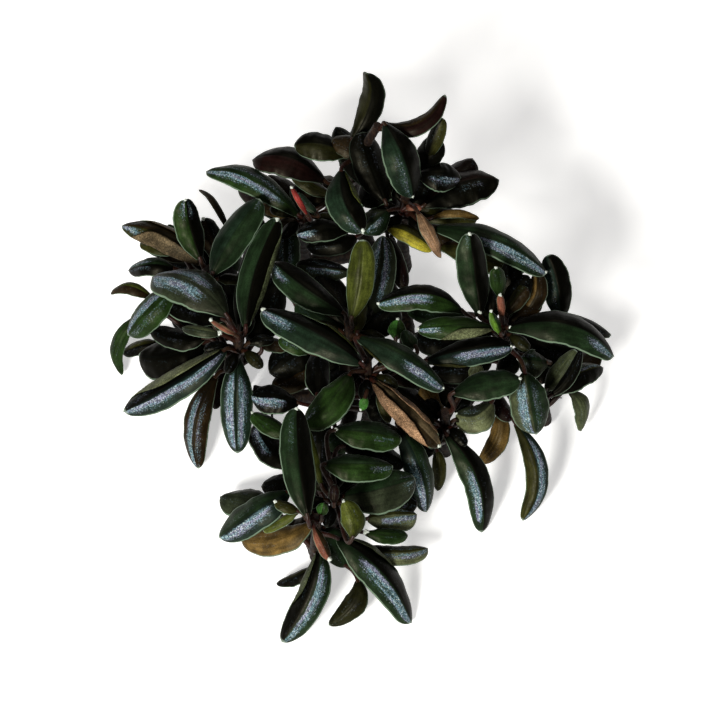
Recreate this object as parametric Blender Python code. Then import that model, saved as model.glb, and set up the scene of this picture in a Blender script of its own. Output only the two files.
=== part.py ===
"""A bucephalandra: a low water plant of creeping rhizomes, short stems and stiff, pointed leaves.

Every place is in millimetres and is turned into metres when a mesh is made. The leaves are
placed as they stand in a slanted front view, 60 degrees above the table: so far to the right,
so far up that view, and so high over the table.
"""

import math
from collections import defaultdict
from itertools import combinations

import bmesh
import bpy
from mathutils import Vector

# Driving dimensions, in millimetres and degrees
METRES = 0.001
VIEW_SLANT = 60.0
PLAN_CENTRE = Vector((0.34, -15.9, 0.0))
BLADE_THICKNESS = 0.7
BLADE_NECK_THICKNESS = 0.9
BLADE_BASE_HALF_WIDTH = 0.55
FOOT_RADIUS = 1.9
TOP_RADIUS = 1.3
TOP_POINT = 1.2
RHIZOME_RADIUS = 1.9
RHIZOME_SWELL = 0.06
PETIOLE_RADII = (0.75, 0.6, 0.5)
PETIOLE_START = 0.9
ROOT_RADII = (0.48, 0.4, 0.24)
ROOT_HEIGHT = 0.44
STALK_GAP = 0.48
ROD_SIDES = 6
PATH_STEPS = 2
FLAT_ANGLE = 2.0
SHARP_ANGLE = 50.0

# Shape of a blade: its hang and outline, and where its rings and ribs are, as shares of its size
BLADE_ARCH = 0.36
ARCH_POWER = 1.4
OUTLINE_SHIFT = 0.95
OUTLINE_FULLNESS = 0.55
MAIN_STATIONS = (0.0, 0.14, 0.40, 0.70, 0.92)
SMALL_STATIONS = (0.0, 0.28, 0.6, 0.9)
RIBS = (-0.5, 0.0, 0.5)
KEEL = 1.2

# Shape of a stalk: it leaves its stem under the blade's base, by a drop and a share of its reach
STALK_DROP = 1.0
STALK_SLOPE = 0.45
CLEAR_OF_FOOT = 2.0
CLEAR_OF_TOP = 0.8
LEAVE_OUTWARD = 0.35
LEAVE_UPWARD = 0.25
ARRIVE_ALONG = 0.3
STALK_STATIONS = (0.0, 0.5, 1.0)
SMALL_STALK_END = 0.9
FREE_STALK_START = 0.3

# How the leaves are kept apart
CELL = 0.6
BLADE_ROWS = 60
STALK_STEPS = 12
RING_POINTS = 16
SHEET_CLEARANCE = 1.8
LOWEST_LEAF = 0.6
PARTING_ROUNDS = 300

UP = Vector((0.0, 0.0, 1.0))
BACK = Vector((0.0, 1.0, 0.0))
SLANT_SIN = math.sin(math.radians(VIEW_SLANT))
SLANT_COS = math.cos(math.radians(VIEW_SLANT))

# Leaf colours, linear red, green and blue
TONES = {
    "dark_green": (0.014, 0.040, 0.022),
    "green": (0.035, 0.085, 0.035),
    "bright_green": (0.10, 0.22, 0.05),
    "teal": (0.010, 0.035, 0.036),
    "blue": (0.030, 0.055, 0.085),
    "black": (0.008, 0.011, 0.012),
    "grey_green": (0.090, 0.120, 0.085),
    "sage": (0.20, 0.24, 0.13),
    "olive": (0.065, 0.070, 0.018),
    "yellow_olive": (0.20, 0.19, 0.035),
    "gold": (0.30, 0.20, 0.045),
    "tan": (0.33, 0.22, 0.12),
    "brown": (0.060, 0.040, 0.020),
    "maroon": (0.050, 0.018, 0.018),
    "red": (0.42, 0.06, 0.035),
}
STEM_COLOUR = (0.16, 0.065, 0.035)

# Stems: plan places and heights of their centre lines
# A creeping run lies on the table and an upright run carries the leaves
RHIZOMES = {
    "rhizome_middle": [(-26.8, -11, 1.5), (-16, -12.5, 1.5), (-3, -10.5, 1.5), (16, -9.5, 1.5), (32.6, -9, 1.5)],
    "rhizome_back": [(10, -6.8, 1.5), (12, 8, 1.5), (7, 21, 1.5), (2, 33, 1.5), (-1, 40, 1.5)],
    "rhizome_front": [(-1.5, -13.4, 1.5), (-4, -24, 1.5), (-9, -38, 1.5), (-12, -50, 1.5), (-10.5, -58, 1.5)],
    "stem_upper_left": [(-31.8, -5.2, 1.5), (-35, 2, 1.5), (-38, 10.7, 1.5)],
    "stem_back_left": [(0.2, 29.6, 1.5), (-8, 28, 1.5), (-13.8, 26.8, 1.5)],
    "stem_back_right": [(9.6, 23.4, 1.5), (11.3, 25.7, 1.5)],
    "stem_low_right": [(38.2, -10.8, 1.5), (43, -15, 1.5), (46.3, -19, 1.5)],
    "stem_front_right": [(6.4, -21.8, 1.5), (14, -25, 1.5), (21.3, -28, 1.5)],
}
UPRIGHTS = {
    "rhizome_middle": [(-3, -10.5, 1.5), (-2.8, -8, 14), (-2.5, -6.6, 29)],
    "rhizome_back": [(-1, 40, 1.5), (-1, 40, 26), (4.5, 38, 50)],
    "rhizome_front": [(-10.5, -58, 1.5), (-10.8, -58, 10), (-10.5, -58, 22)],
    "stem_left": [(-30, -9, 0.3), (-30.4, -9.4, 14), (-30, -9, 27)],
    "stem_upper_left": [(-38, 10.7, 1.5), (-38.4, 10.5, 12), (-38, 10.7, 26)],
    "stem_back_left": [(-13.8, 26.8, 1.5), (-14.2, 27, 14), (-13.8, 26.8, 30)],
    "stem_back_right": [(11.3, 25.7, 1.5), (11.0, 25.8, 16), (11.6, 25.4, 36)],
    "stem_centre": [(2, -20.5, 0.3), (2.4, -20.8, 15), (2, -20.5, 34)],
    "stem_right": [(35.5, -8.7, 0.3), (35.9, -8.9, 15), (35.5, -8.7, 34)],
    "stem_low_right": [(46.3, -19, 1.5), (46.3, -19, 8), (46.3, -19, 15)],
    "stem_front_right": [(21.3, -28, 1.5), (21.6, -28.2, 10), (21.3, -28, 22)],
    "stem_front": [(-6.3, -50.8, 0.3), (-6.1, -50.6, 10), (-6.3, -50.8, 24)],
}
ROOTS = {
    "rhizome_middle": [[(-20, -13), (-22, -17), (-20, -21)], [(5, -10), (7, -14), (6, -18)],
                       [(22, -9.5), (24, -4), (23, 1)]],
    "rhizome_back": [[(11, 4), (15, 7), (19, 6)], [(5, 26), (9, 31), (10, 36)]],
    "rhizome_front": [[(-6, -30), (-2, -33), (0, -38)], [(-11, -46), (-16, -48), (-20, -46)]],
    "stem_upper_left": [[(-36, 5), (-41, 4), (-45, 6)]],
    "stem_front_right": [[(15, -25.5), (17, -31), (16, -36)]],
    "stem_low_right": [[(43, -15), (46, -12), (51, -12)]],
}

# Main leaves, each a piece of its own: stem, then base, middle and tip, as
# (right, up the slanted view, height), then width and colour
MAIN_LEAVES = {
    "leaf_left_01": ("stem_left", (-33, 10.5, 27), (-42.3, 19, 29), (-52, 20, 21), 11.4, "grey_green"),
    "leaf_left_02": ("stem_left", (-46, 17.5, 22), (-52.5, 12, 20), (-58, 5.5, 12), 7.8, "green"),
    "leaf_left_03": ("stem_upper_left", (-39.3, 23.3, 25), (-49.3, 30.6, 28), (-59.8, 33.2, 24), 6.6, "brown"),
    "leaf_left_04": ("stem_upper_left", (-39.8, 24.5, 27), (-42.3, 32, 32), (-43.5, 39.5, 38), 6.8, "green"),
    "leaf_left_05": ("stem_upper_left", (-36.8, 20.8, 28), (-31.8, 30.4, 33), (-25, 39.8, 36), 8.4, "teal"),
    "leaf_left_06": ("stem_left", (-28.3, 7.5, 29), (-26.2, 21.3, 34), (-20.3, 34.8, 38), 7.3, "dark_green"),
    "leaf_left_07": ("stem_left", (-30.5, 0, 22), (-30.8, -11.3, 17), (-30.5, -24, 5), 7.8, "teal"),
    "leaf_left_08": ("stem_left", (-33.5, 2, 24), (-45, -5.8, 20), (-59, -13.6, 8), 8, "blue"),
    "leaf_left_09": ("stem_left", (-35.8, -4.5, 16), (-41, -16.3, 11), (-40.3, -27.8, 2), 6.3, "brown"),
    "leaf_left_10": ("stem_left", (-38.8, 3.8, 14), (-47.5, 0.5, 12), (-55.5, 0.5, 7), 10.8, "brown"),
    "leaf_back_01": ("stem_back_left", (-15, 35.5, 29), (-27.3, 45, 33), (-38.2, 47.2, 27), 7.2, "olive"),
    "leaf_back_02": ("rhizome_back", (-8.5, 44.3, 30), (-18, 50.2, 36), (-27, 49.5, 32), 9, "maroon"),
    "leaf_back_03": ("rhizome_back", (-2.5, 51, 34), (-9.5, 53.5, 38), (-16.5, 53.3, 36), 7.6, "olive"),
    "leaf_back_04": ("rhizome_back", (-2, 54.5, 38), (2.6, 63.5, 46), (2.6, 70.8, 56), 6.2, "brown"),
    "leaf_back_05": ("rhizome_back", (6.6, 58.4, 52.2), (14.5, 58.2, 53), (22.3, 65, 56), 5, "tan"),
    "leaf_back_06": ("rhizome_back", (6.3, 58.3, 52), (11.2, 48.8, 50), (13.3, 39.8, 40), 9, "teal"),
    "leaf_back_07": ("stem_back_right", (14.5, 45.8, 40), (20, 45.8, 42), (25.3, 44.8, 38), 7.6, "black"),
    "leaf_back_08": ("stem_back_right", (16, 38, 34), (25.5, 43.8, 36), (35, 44.5, 34), 10.4, "maroon"),
    "leaf_back_09": ("rhizome_back", (-4.6, 47, 40), (-3.9, 38.8, 42), (1, 31.3, 38), 8, "teal"),
    "leaf_back_10": ("stem_back_right", (9.5, 44.5, 34), (4.8, 43.8, 35), (0.3, 38, 32), 9.4, "black"),
    "leaf_back_11": ("stem_back_right", (18.3, 32.5, 38), (34, 29.4, 42), (46.8, 21, 34), 8, "dark_green"),
    "leaf_back_12": ("stem_back_right", (20, 28, 32), (30, 26.8, 34), (41.3, 21.3, 28), 8.4, "brown"),
    "leaf_middle_01": ("rhizome_middle", (1.5, 9.5, 22), (4.6, 18.8, 26), (5.8, 30.5, 30), 7.5, "grey_green"),
    "leaf_middle_02": ("rhizome_middle", (-3.8, 11, 30), (-13.8, 17.5, 33), (-21.5, 23.8, 30), 8, "black"),
    "leaf_middle_03": ("stem_centre", (0.5, -1.5, 36), (-11.3, 6.3, 39), (-24.3, 12, 34), 9, "teal"),
    "leaf_middle_04": ("stem_centre", (-0.5, 5, 39.5), (11.3, 0, 40), (21, -7.8, 32), 7.6, "teal"),
    "leaf_middle_05": ("rhizome_middle", (-2, 9.8, 33), (0.1, 18.8, 40), (0.8, 29.3, 46), 6.6, "yellow_olive"),
    "leaf_middle_06": ("stem_right", (25.8, 11.5, 30), (16.3, 15.8, 35), (4.3, 13.3, 32), 7.6, "green"),
    "leaf_middle_07": ("stem_right", (33.3, 7.5, 34), (23.8, 8, 36), (14.3, 7, 33), 6, "green"),
    "leaf_middle_08": ("stem_centre", (16.3, -0.8, 30), (27.5, 2, 33), (38, 2.8, 30), 7, "blue"),
    "leaf_middle_09": ("stem_front_right", (23, -8.8, 24), (31.8, -5.8, 27), (40, -5.3, 26), 8.4, "green"),
    "leaf_right_01": ("stem_right", (36.5, 7.3, 33), (51.2, 8.2, 37), (63.5, 1.2, 27), 9, "dark_green"),
    "leaf_right_02": ("stem_right", (30, 10.5, 34), (28.5, 20.5, 42), (27.3, 30.8, 50), 7.5, "green"),
    "leaf_right_03": ("stem_right", (49.5, 9.5, 26), (48.6, 18, 31), (46.5, 26.5, 35), 6.8, "blue"),
    "leaf_right_04": ("stem_low_right", (46.8, -9.5, 15), (54.6, -4.2, 17), (61, -2.5, 13), 6.2, "olive"),
    "leaf_right_05": ("stem_right", (41, -3.5, 25), (42.3, -11.3, 22), (43.8, -19, 14), 9.5, "sage"),
    "leaf_right_06": ("stem_low_right", (38.8, -16.3, 15), (44.3, -28.8, 10), (41.3, -41, 1.2), 5.6, "blue"),
    "leaf_front_01": ("stem_centre", (3.5, -5.8, 30), (11.3, -13.3, 29), (20, -22.3, 20), 6, "tan"),
    "leaf_front_02": ("stem_front_right", (9.5, -17, 20), (15, -27.5, 16), (16.8, -38.5, 5), 6.8, "blue"),
    "leaf_front_03": ("stem_front_right", (21.5, -19, 18), (28.5, -30.8, 13), (30, -43.8, 1.2), 7, "black"),
    "leaf_front_04": ("stem_centre", (-2.3, -4, 33), (-7, -10.5, 33), (-13.8, -16.8, 28), 8.6, "bright_green"),
    "leaf_front_05": ("rhizome_front", (-17.4, -32.9, 20), (-25.7, -38, 18), (-34.8, -44.5, 8), 8.6, "blue"),
    "leaf_front_06": ("rhizome_front", (-12.8, -39, 24), (-15, -25.5, 30), (-15.5, -12.3, 34), 8, "dark_green"),
    "leaf_front_07": ("rhizome_front", (-9.8, -47.5, 16), (-12.4, -58.8, 11), (-19.8, -70.5, 1.2), 7.2, "black"),
    "leaf_front_08": ("rhizome_front", (-5.5, -44.6, 20), (4.6, -53.1, 16), (13, -65.4, 3), 8.5, "black"),
    "leaf_front_09": ("stem_front", (-4.3, -34.3, 20), (5, -32.6, 23), (13.8, -29.8, 20), 10.2, "grey_green"),
    "leaf_front_10": ("stem_front", (-8.8, -26.3, 26), (-0.5, -26.3, 27), (8.3, -26.8, 24), 8, "green"),
    "leaf_front_11": ("stem_front", (-6.3, -18, 27), (2, -18.5, 28), (10.5, -20.3, 24), 7.8, "green"),
}

# Small leaves and shoots, which are one with the stem they grow from
SMALL_LEAVES = {
    "left_a": ("stem_left", (-55.5, 10.5, 16), (-61, 3.2, 10), (-60.8, -4.3, 2), 4, "green"),
    "left_b": ("stem_left", (-51.5, 14.5, 14), (-57.5, 17.8, 17), (-62.3, 17, 12), 3.8, "yellow_olive"),
    "left_c": ("stem_upper_left", (-46.3, 22.4, 17), (-52.5, 23.4, 18), (-58.3, 21.9, 12), 5.2, "olive"),
    "left_d": ("stem_upper_left", (-36.8, 24.5, 20), (-37, 30, 24), (-39.3, 34.8, 27), 5.5, "brown"),
    "left_e": ("stem_left", (-38.8, 5, 19), (-45, 5, 18), (-52.5, 7.5, 15), 5.8, "black"),
    "left_f": ("stem_left", (-34.5, 5.8, 22), (-39.3, 6.8, 23), (-44.3, 7.5, 20), 3.2, "tan"),
    "left_g": ("stem_left", (-33.8, 9.5, 22), (-40.5, 11.3, 18), (-48.8, 13.8, 14), 5.8, "brown"),
    "left_h": ("stem_left", (-50, 3.8, 9), (-55, 3, 8), (-59.8, 1, 4), 4, "olive"),
    "left_i": ("stem_upper_left", (-46.3, 26.3, 18), (-50.8, 27.5, 18.5), (-55.3, 28.8, 17), 3.2, "olive"),
    "left_j": ("stem_upper_left", (-43.8, 28.8, 18), (-46, 31.2, 18.5), (-48.3, 33.5, 18), 2.8, "green"),
    "left_k": ("stem_upper_left", (-32, 30, 18), (-36.3, 38.5, 20), (-40, 42.8, 16), 1.8, "brown"),
    "left_l": ("stem_left", (-30.5, 5.5, 27), (-33.8, 7.4, 29), (-37, 9.3, 30), 1.6, "red"),
    "left_m": ("stem_left", (-25.5, 3.8, 16), (-21.5, 3.6, 17), (-17.5, 3, 16), 4.2, "brown"),
    "back_a": ("stem_back_left", (-14.3, 34.5, 22), (-22.5, 38.8, 25), (-30.5, 43.5, 20), 5.8, "maroon"),
    "back_b": ("stem_back_left", (-7.5, 40.8, 28), (-12.3, 43.5, 29), (-16.8, 46.5, 30), 4.2, "olive"),
    "back_c": ("stem_back_left", (-12.8, 35.3, 33), (-14.9, 38.9, 36), (-17, 42.5, 38), 1.5, "red"),
    "back_d": ("stem_back_left", (-10.5, 35.8, 30), (-12.9, 38.5, 31), (-15.3, 41.3, 32), 2.2, "teal"),
    "back_e": ("rhizome_middle", (-17.5, 17.5, 18), (-18.5, 26.3, 22), (-18, 32.3, 24), 6.8, "grey_green"),
    "back_f": ("stem_back_right", (-2.5, 32, 28), (-9.5, 32.5, 30), (-15.8, 31, 28), 6.4, "black"),
    "back_g": ("stem_back_right", (16.5, 49.3, 40), (18.6, 54.3, 46), (20.8, 59.8, 50), 4, "olive"),
    "back_h": ("stem_back_right", (7.5, 36.8, 32), (3.8, 34.5, 32), (0.8, 31, 28), 6.8, "grey_green"),
    "back_i": ("stem_back_right", (14.5, 36.3, 38), (17.5, 30.8, 36), (20.3, 24.8, 30), 3.4, "tan"),
    "back_j": ("stem_back_right", (7, 32.3, 32), (12, 31.3, 33), (18.5, 26.8, 30), 5, "yellow_olive"),
    "back_k": ("stem_back_right", (18, 34.8, 34), (23.8, 36.3, 36), (30, 34.8, 34), 2.6, "gold"),
    "back_l": ("stem_back_right", (7, 30.5, 28), (8.8, 24.5, 26), (11.3, 17, 22), 4.8, "maroon"),
    "middle_a": ("rhizome_middle", (-2, 21.3, 26), (-8.8, 22.5, 27), (-16, 23.3, 25), 5.6, "grey_green"),
    "middle_b": ("rhizome_middle", (9, 4.5, 32), (9.3, 7, 33.5), (9.5, 9.5, 34), 4.4, "bright_green"),
    "middle_c": ("stem_centre", (14, 2.5, 33), (12.5, 4.6, 33.5), (11, 6.8, 33), 3.6, "dark_green"),
    "middle_d": ("stem_front_right", (30, -1.5, 26), (29, -3.2, 25.5), (27.8, -5.3, 24), 3.6, "bright_green"),
    "middle_e": ("rhizome_middle", (-12.5, 1.3, 26), (-16.2, 3.2, 27), (-20, 5, 27), 4.4, "green"),
    "middle_f": ("stem_centre", (-10.5, -9.5, 24), (-10.5, -3.8, 23), (-10.5, 2, 20), 6, "black"),
    "right_a": ("stem_right", (42.5, 8.8, 28), (52.5, 9.5, 31), (62.8, 5.5, 24), 5, "black"),
    "right_b": ("stem_right", (34.8, 15, 36), (34.5, 18.8, 40), (33.8, 22.3, 43), 4, "bright_green"),
    "right_c": ("stem_right", (35.8, 15, 30), (37.5, 20, 34), (37, 24.5, 36), 5.5, "black"),
    "right_d": ("stem_right", (35.5, 9.8, 36), (35.2, 12.6, 39), (34.8, 15.5, 42), 2, "red"),
    "right_e": ("stem_right", (36.3, 10.5, 30), (39.3, 15, 33), (41.8, 17.5, 34), 4.6, "brown"),
    "right_f": ("stem_right", (40, 10.5, 26), (43.8, 15.5, 30), (43.8, 21.3, 32), 5, "olive"),
    "right_g": ("stem_right", (35, 5.8, 36), (33.8, 8.6, 39), (32.5, 11.5, 41), 2.6, "bright_green"),
    "right_h": ("stem_right", (47, -1.3, 24), (43.2, -0.8, 26), (39.5, -0.5, 24), 7.6, "grey_green"),
    "right_i": ("stem_low_right", (46.3, -8, 16), (49.5, -3.8, 19), (53.8, 2, 22), 5.6, "sage"),
    "right_j": ("stem_low_right", (47.3, -9.5, 18), (52, -5, 21), (55, 2, 24), 3.2, "black"),
    "right_k": ("stem_low_right", (52.5, -8.5, 13), (56, -12.5, 10), (55.5, -18.5, 3), 4.4, "olive"),
    "right_l": ("stem_front_right", (34.8, -13, 14), (34.5, -20, 11), (30, -26.5, 4), 5, "gold"),
    "right_m": ("stem_front_right", (33, -11, 19), (28.8, -14.5, 19), (24, -14, 17), 7.8, "sage"),
    "right_n": ("stem_front_right", (32.6, -8.6, 17.4), (35, -11.6, 16.6), (38, -15.8, 14), 4.6, "maroon"),
    "front_a": ("stem_front_right", (19.2, -22.8, 12), (19.8, -27.5, 9), (19.4, -33.3, 3), 3.4, "olive"),
    "front_b": ("stem_front_right", (21.3, -13.8, 20), (18.3, -10.8, 22), (16, -7, 24), 5.2, "gold"),
    "front_c": ("stem_centre", (4.5, -8, 24), (6, -12.2, 23), (7.5, -16.3, 20), 2.8, "olive"),
    "front_d": ("stem_centre", (1.5, -9.5, 30), (0.9, -11.3, 29), (0.3, -13, 27), 2.4, "bright_green"),
    "front_e": ("stem_centre", (-15, -11.3, 18), (-21.3, -9.8, 20), (-27, -9.5, 18), 7.6, "black"),
    "front_f": ("stem_front", (-17.5, -20, 16), (-22.5, -16.3, 17), (-26.8, -13.8, 15), 5.2, "green"),
    "front_g": ("stem_front", (-17, -27.5, 10), (-22.5, -22, 10), (-26, -16.3, 8), 7.2, "black"),
    "front_h": ("stem_front", (-9.3, -31.8, 22), (-11.5, -24.5, 26), (-13.3, -17, 28), 2.8, "yellow_olive"),
    "front_i": ("rhizome_front", (-22.5, -37.3, 10), (-28.8, -35, 9), (-34.7, -34.6, 6), 8.8, "grey_green"),
    "front_j": ("rhizome_front", (-11.8, -40.5, 16), (-20, -44.5, 12), (-29.3, -45, 5), 7.4, "gold"),
    "front_k": ("rhizome_front", (-15.3, -38, 20), (-19.3, -40.3, 18), (-23.8, -42.8, 15), 2.8, "yellow_olive"),
    "front_l": ("rhizome_front", (-14.8, -37.8, 21), (-17.8, -36.6, 22), (-20.8, -35.5, 22), 3.2, "olive"),
    "front_m": ("rhizome_front", (-0.5, -55, 8), (-2.3, -61.4, 6), (-8.3, -66.5, 1.2), 5.8, "olive"),
    "front_n": ("rhizome_front", (-11, -51.8, 10), (-16, -54.3, 7), (-20.6, -56, 3), 4, "olive"),
    "front_o": ("stem_front", (-1.8, -44.5, 22), (-1.5, -40, 25), (-4, -35.3, 27), 5.8, "yellow_olive"),
    "front_p": ("stem_front", (1.8, -40, 13), (8, -39, 14), (14.3, -39, 11), 8, "sage"),
    "front_q": ("stem_front", (1.3, -43.3, 15), (7, -43.8, 15), (12, -44, 12), 4.2, "green"),
    "front_r": ("stem_front", (1.3, -47, 12), (9.3, -48.3, 12), (17, -47.3, 8), 5.8, "sage"),
    "front_s": ("rhizome_front", (-9.5, -39, 24), (-9.2, -37.4, 26), (-8.8, -35.8, 27), 3, "bright_green"),
    "front_t": ("rhizome_front", (-11.3, -41.3, 24), (-9.3, -45.6, 23), (-7.3, -49.8, 20), 2.8, "red"),
    "front_u": ("stem_front", (-6.3, -36.3, 22), (-6.3, -33.8, 24), (-6.3, -31.3, 25), 2.6, "maroon"),
}


# Places and curves
def seen(across, up, height):
    """The place in plan and height of a point given as it stands in the slanted front view."""
    return Vector((across, (up - height * SLANT_COS) / SLANT_SIN, height))


def lifted(point, lift):
    """A point moved along the line of sight of the slanted view until it is higher by lift."""
    return point + Vector((0.0, -lift * SLANT_COS / SLANT_SIN, lift))


class Leaf:
    """A leaf: the stem that bears it, its curved centre line, its width and its colour."""

    def __init__(self, name, row, main):
        stem, base, middle, tip, width, tone = row
        self.name = name
        self.stem = stem
        self.points = [seen(*base), seen(*middle), seen(*tip)]
        self.width = width
        self.tone = tone
        self.main = main

    def lift(self, amount):
        self.points = [lifted(point, amount) for point in self.points]

    def centre(self, along):
        base, middle, tip = self.points
        near = (1.0 - along) * (1.0 - 2.0 * along)
        mid = 4.0 * along * (1.0 - along)
        far = along * (2.0 * along - 1.0)
        return base * near + middle * mid + tip * far

    def tangent(self, along):
        base, middle, tip = self.points
        slope = base * (4.0 * along - 3.0) + middle * (4.0 - 8.0 * along) + tip * (4.0 * along - 1.0)
        return slope.normalized()

    def axes(self, along):
        """Unit directions along the leaf, across it and out of its upper side."""
        tangent = self.tangent(along)
        heading = self.points[2] - self.points[0]
        heading.z = 0.0
        side = UP.cross(heading.normalized())
        side = (side - tangent * side.dot(tangent)).normalized()
        return tangent, side, tangent.cross(side)

    def half_width(self, along):
        swell = math.sin(math.pi * along ** OUTLINE_SHIFT) ** OUTLINE_FULLNESS
        return max(0.5 * self.width * swell, BLADE_BASE_HALF_WIDTH)

    def surface(self, along, across):
        """A point of the blade's middle sheet, across running from -1 to 1; the margins hang down."""
        _, side, normal = self.axes(along)
        half = self.half_width(along)
        fall = BLADE_ARCH * half * abs(across) ** ARCH_POWER
        return self.centre(along) + side * half * across - normal * fall


def on_path(path, height):
    """The point of an upright path at a given height."""
    for low, high in zip(path, path[1:]):
        if height <= high[2]:
            share = max(0.0, (height - low[2]) / (high[2] - low[2]))
            return Vector(low).lerp(Vector(high), share)
    return Vector(path[-1])


def petiole_line(leaf):
    """Four control points of the stalk that joins a leaf to its stem's centre line."""
    base = leaf.points[0]
    path = UPRIGHTS[leaf.stem]
    reach = (base - on_path(path, base.z)).to_2d().length
    height = base.z - STALK_DROP - STALK_SLOPE * reach
    height = min(max(height, path[0][2] + CLEAR_OF_FOOT), path[-1][2] - CLEAR_OF_TOP)
    axis = on_path(path, height)
    outward = base - axis
    outward.z = 0.0
    outward.normalize()
    root = axis + outward * PETIOLE_START
    span = (base - root).length
    leave = root + (outward * LEAVE_OUTWARD + UP * LEAVE_UPWARD) * span
    arrive = base - leaf.tangent(0.0) * ARRIVE_ALONG * span
    return root, leave, arrive, base


def bezier(controls, share):
    a, b, c, d = controls
    rest = 1.0 - share
    return a * rest ** 3 + b * 3.0 * rest ** 2 * share + c * 3.0 * rest * share ** 2 + d * share ** 3


# Keeping the leaves apart
def height_spans(points):
    """The lowest and highest of the points in each cell of the slanted view."""
    spans = {}
    for point in points:
        cell = (round(point.x / CELL), round((point.y * SLANT_SIN + point.z * SLANT_COS) / CELL))
        low, high = spans.get(cell, (point.z, point.z))
        spans[cell] = (min(low, point.z), max(high, point.z))
    return spans


def blade_points(leaf):
    steps = int(leaf.width / CELL * 2.0) + 4
    for i in range(BLADE_ROWS + 1):
        for j in range(steps + 1):
            yield leaf.surface(i / BLADE_ROWS, 2.0 * j / steps - 1.0)


def rod_points(path, radius):
    """Points all round a rod along a path, close enough to leave no cell empty."""
    for low, high in zip(path, path[1:]):
        low, high = Vector(low), Vector(high)
        steps = int((high - low).length / CELL * 2.0) + 1
        turn = (high - low).to_track_quat("Z", "X")
        for i in range(steps + 1):
            middle = low.lerp(high, i / steps)
            for k in range(RING_POINTS):
                angle = math.tau * k / RING_POINTS
                yield middle + turn @ Vector((math.cos(angle), math.sin(angle), 0.0)) * radius


def sheets_of(leaves):
    """Every blade, stalk and stem as (leaf number or None, kind, stem, spans)."""
    sheets = []
    for number, leaf in enumerate(leaves):
        sheets.append((number, "blade", leaf.stem, height_spans(blade_points(leaf))))
        controls = petiole_line(leaf)
        free = 1.0 - FREE_STALK_START
        line = [bezier(controls, FREE_STALK_START + free * i / STALK_STEPS) for i in range(STALK_STEPS + 1)]
        sheets.append((number, "stalk", leaf.stem, height_spans(rod_points(line, PETIOLE_RADII[-1]))))
    for stem in sorted(set(RHIZOMES) | set(UPRIGHTS)):
        points = list(rod_points(UPRIGHTS.get(stem, []), TOP_RADIUS))
        points += list(rod_points(RHIZOMES.get(stem, []), RHIZOME_RADIUS))
        sheets.append((None, "stem", stem, height_spans(points)))
    return sheets


def may_touch(first, second):
    """Whether two sheets are one piece where they meet, or fixed to each other."""
    same_leaf = first[0] is not None and first[0] == second[0]
    both_fixed = first[0] is None and second[0] is None
    no_blade = first[2] == second[2] and "blade" not in (first[1], second[1])
    return same_leaf or both_fixed or no_blade


def order_sheets(sheets):
    """Which sheet lies over which, and by how much their heights have to differ more than they do."""
    cells = defaultdict(list)
    for index, sheet in enumerate(sheets):
        for cell, span in sheet[3].items():
            cells[cell].append((index, span))
    shared = defaultdict(lambda: [0.0, -1e9, -1e9])
    for entries in cells.values():
        for (first, one), (second, two) in combinations(entries, 2):
            if may_touch(sheets[first], sheets[second]):
                continue
            record = shared[(first, second)]
            record[0] += sum(one) - sum(two)
            record[1] = max(record[1], two[1] - one[0])
            record[2] = max(record[2], one[1] - two[0])
    orders = []
    for (first, second), (lead, first_over, second_over) in sorted(shared.items()):
        if lead >= 0.0:
            orders.append((sheets[first][0], sheets[second][0], first_over + SHEET_CLEARANCE))
        else:
            orders.append((sheets[second][0], sheets[first][0], second_over + SHEET_CLEARANCE))
    return orders


def part_leaves(leaves):
    """Move leaves along the line of sight until each clears what lies under or over it."""
    sheets = sheets_of(leaves)
    orders = order_sheets(sheets)
    lowest = [min(low for low, _ in sheet[3].values()) for sheet in sheets if sheet[1] == "blade"]
    lifts = [0.0] * len(leaves)
    for _ in range(PARTING_ROUNDS):
        for front, back, need in orders:
            front_lift = 0.0 if front is None else lifts[front]
            back_lift = 0.0 if back is None else lifts[back]
            short = need - (front_lift - back_lift)
            if short <= 0.0:
                continue
            share = 0.5 if front is not None and back is not None else 1.0
            if front is not None:
                lifts[front] += short * share
            if back is not None:
                lifts[back] -= short * share
        for number, low in enumerate(lowest):
            lifts[number] = max(lifts[number], LOWEST_LEAF - low)
    for leaf, amount in zip(leaves, lifts):
        leaf.lift(amount)
    return lifts


# Shapes
def new_object(name, verts, faces, colour, roughness):
    mesh = bpy.data.meshes.new(name)
    mesh.from_pydata([(vert - PLAN_CENTRE) * METRES for vert in verts], [], faces)
    work = bmesh.new()
    work.from_mesh(mesh)
    bmesh.ops.recalc_face_normals(work, faces=work.faces)
    bmesh.ops.triangulate(work, faces=work.faces)
    work.to_mesh(mesh)
    work.free()
    mesh.shade_smooth()
    mesh.set_sharp_from_angle(angle=math.radians(SHARP_ANGLE))
    thing = bpy.data.objects.new(name, mesh)
    bpy.context.scene.collection.objects.link(thing)
    material = bpy.data.materials.new(name)
    material.use_nodes = True
    shader = material.node_tree.nodes["Principled BSDF"]
    shader.inputs["Base Color"].default_value = (*colour, 1.0)
    shader.inputs["Roughness"].default_value = roughness
    shader.inputs["Metallic"].default_value = 0.0
    mesh.materials.append(material)
    return thing


def skin(rings, end_point=None):
    """Vertices and faces of a closed body through rings of equal size, ending flat or in a point."""
    count = len(rings[0])
    verts = [vert for ring in rings for vert in ring]
    faces = [tuple(reversed(range(count)))]
    for row in range(len(rings) - 1):
        for k in range(count):
            after = (k + 1) % count
            low = row * count
            high = low + count
            faces.append((low + k, low + after, high + after, high + k))
    last = (len(rings) - 1) * count
    if end_point is None:
        faces.append(tuple(last + k for k in range(count)))
    else:
        verts.append(end_point)
        faces += [(last + k, last + (k + 1) % count, len(verts) - 1) for k in range(count)]
    return verts, faces


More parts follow.
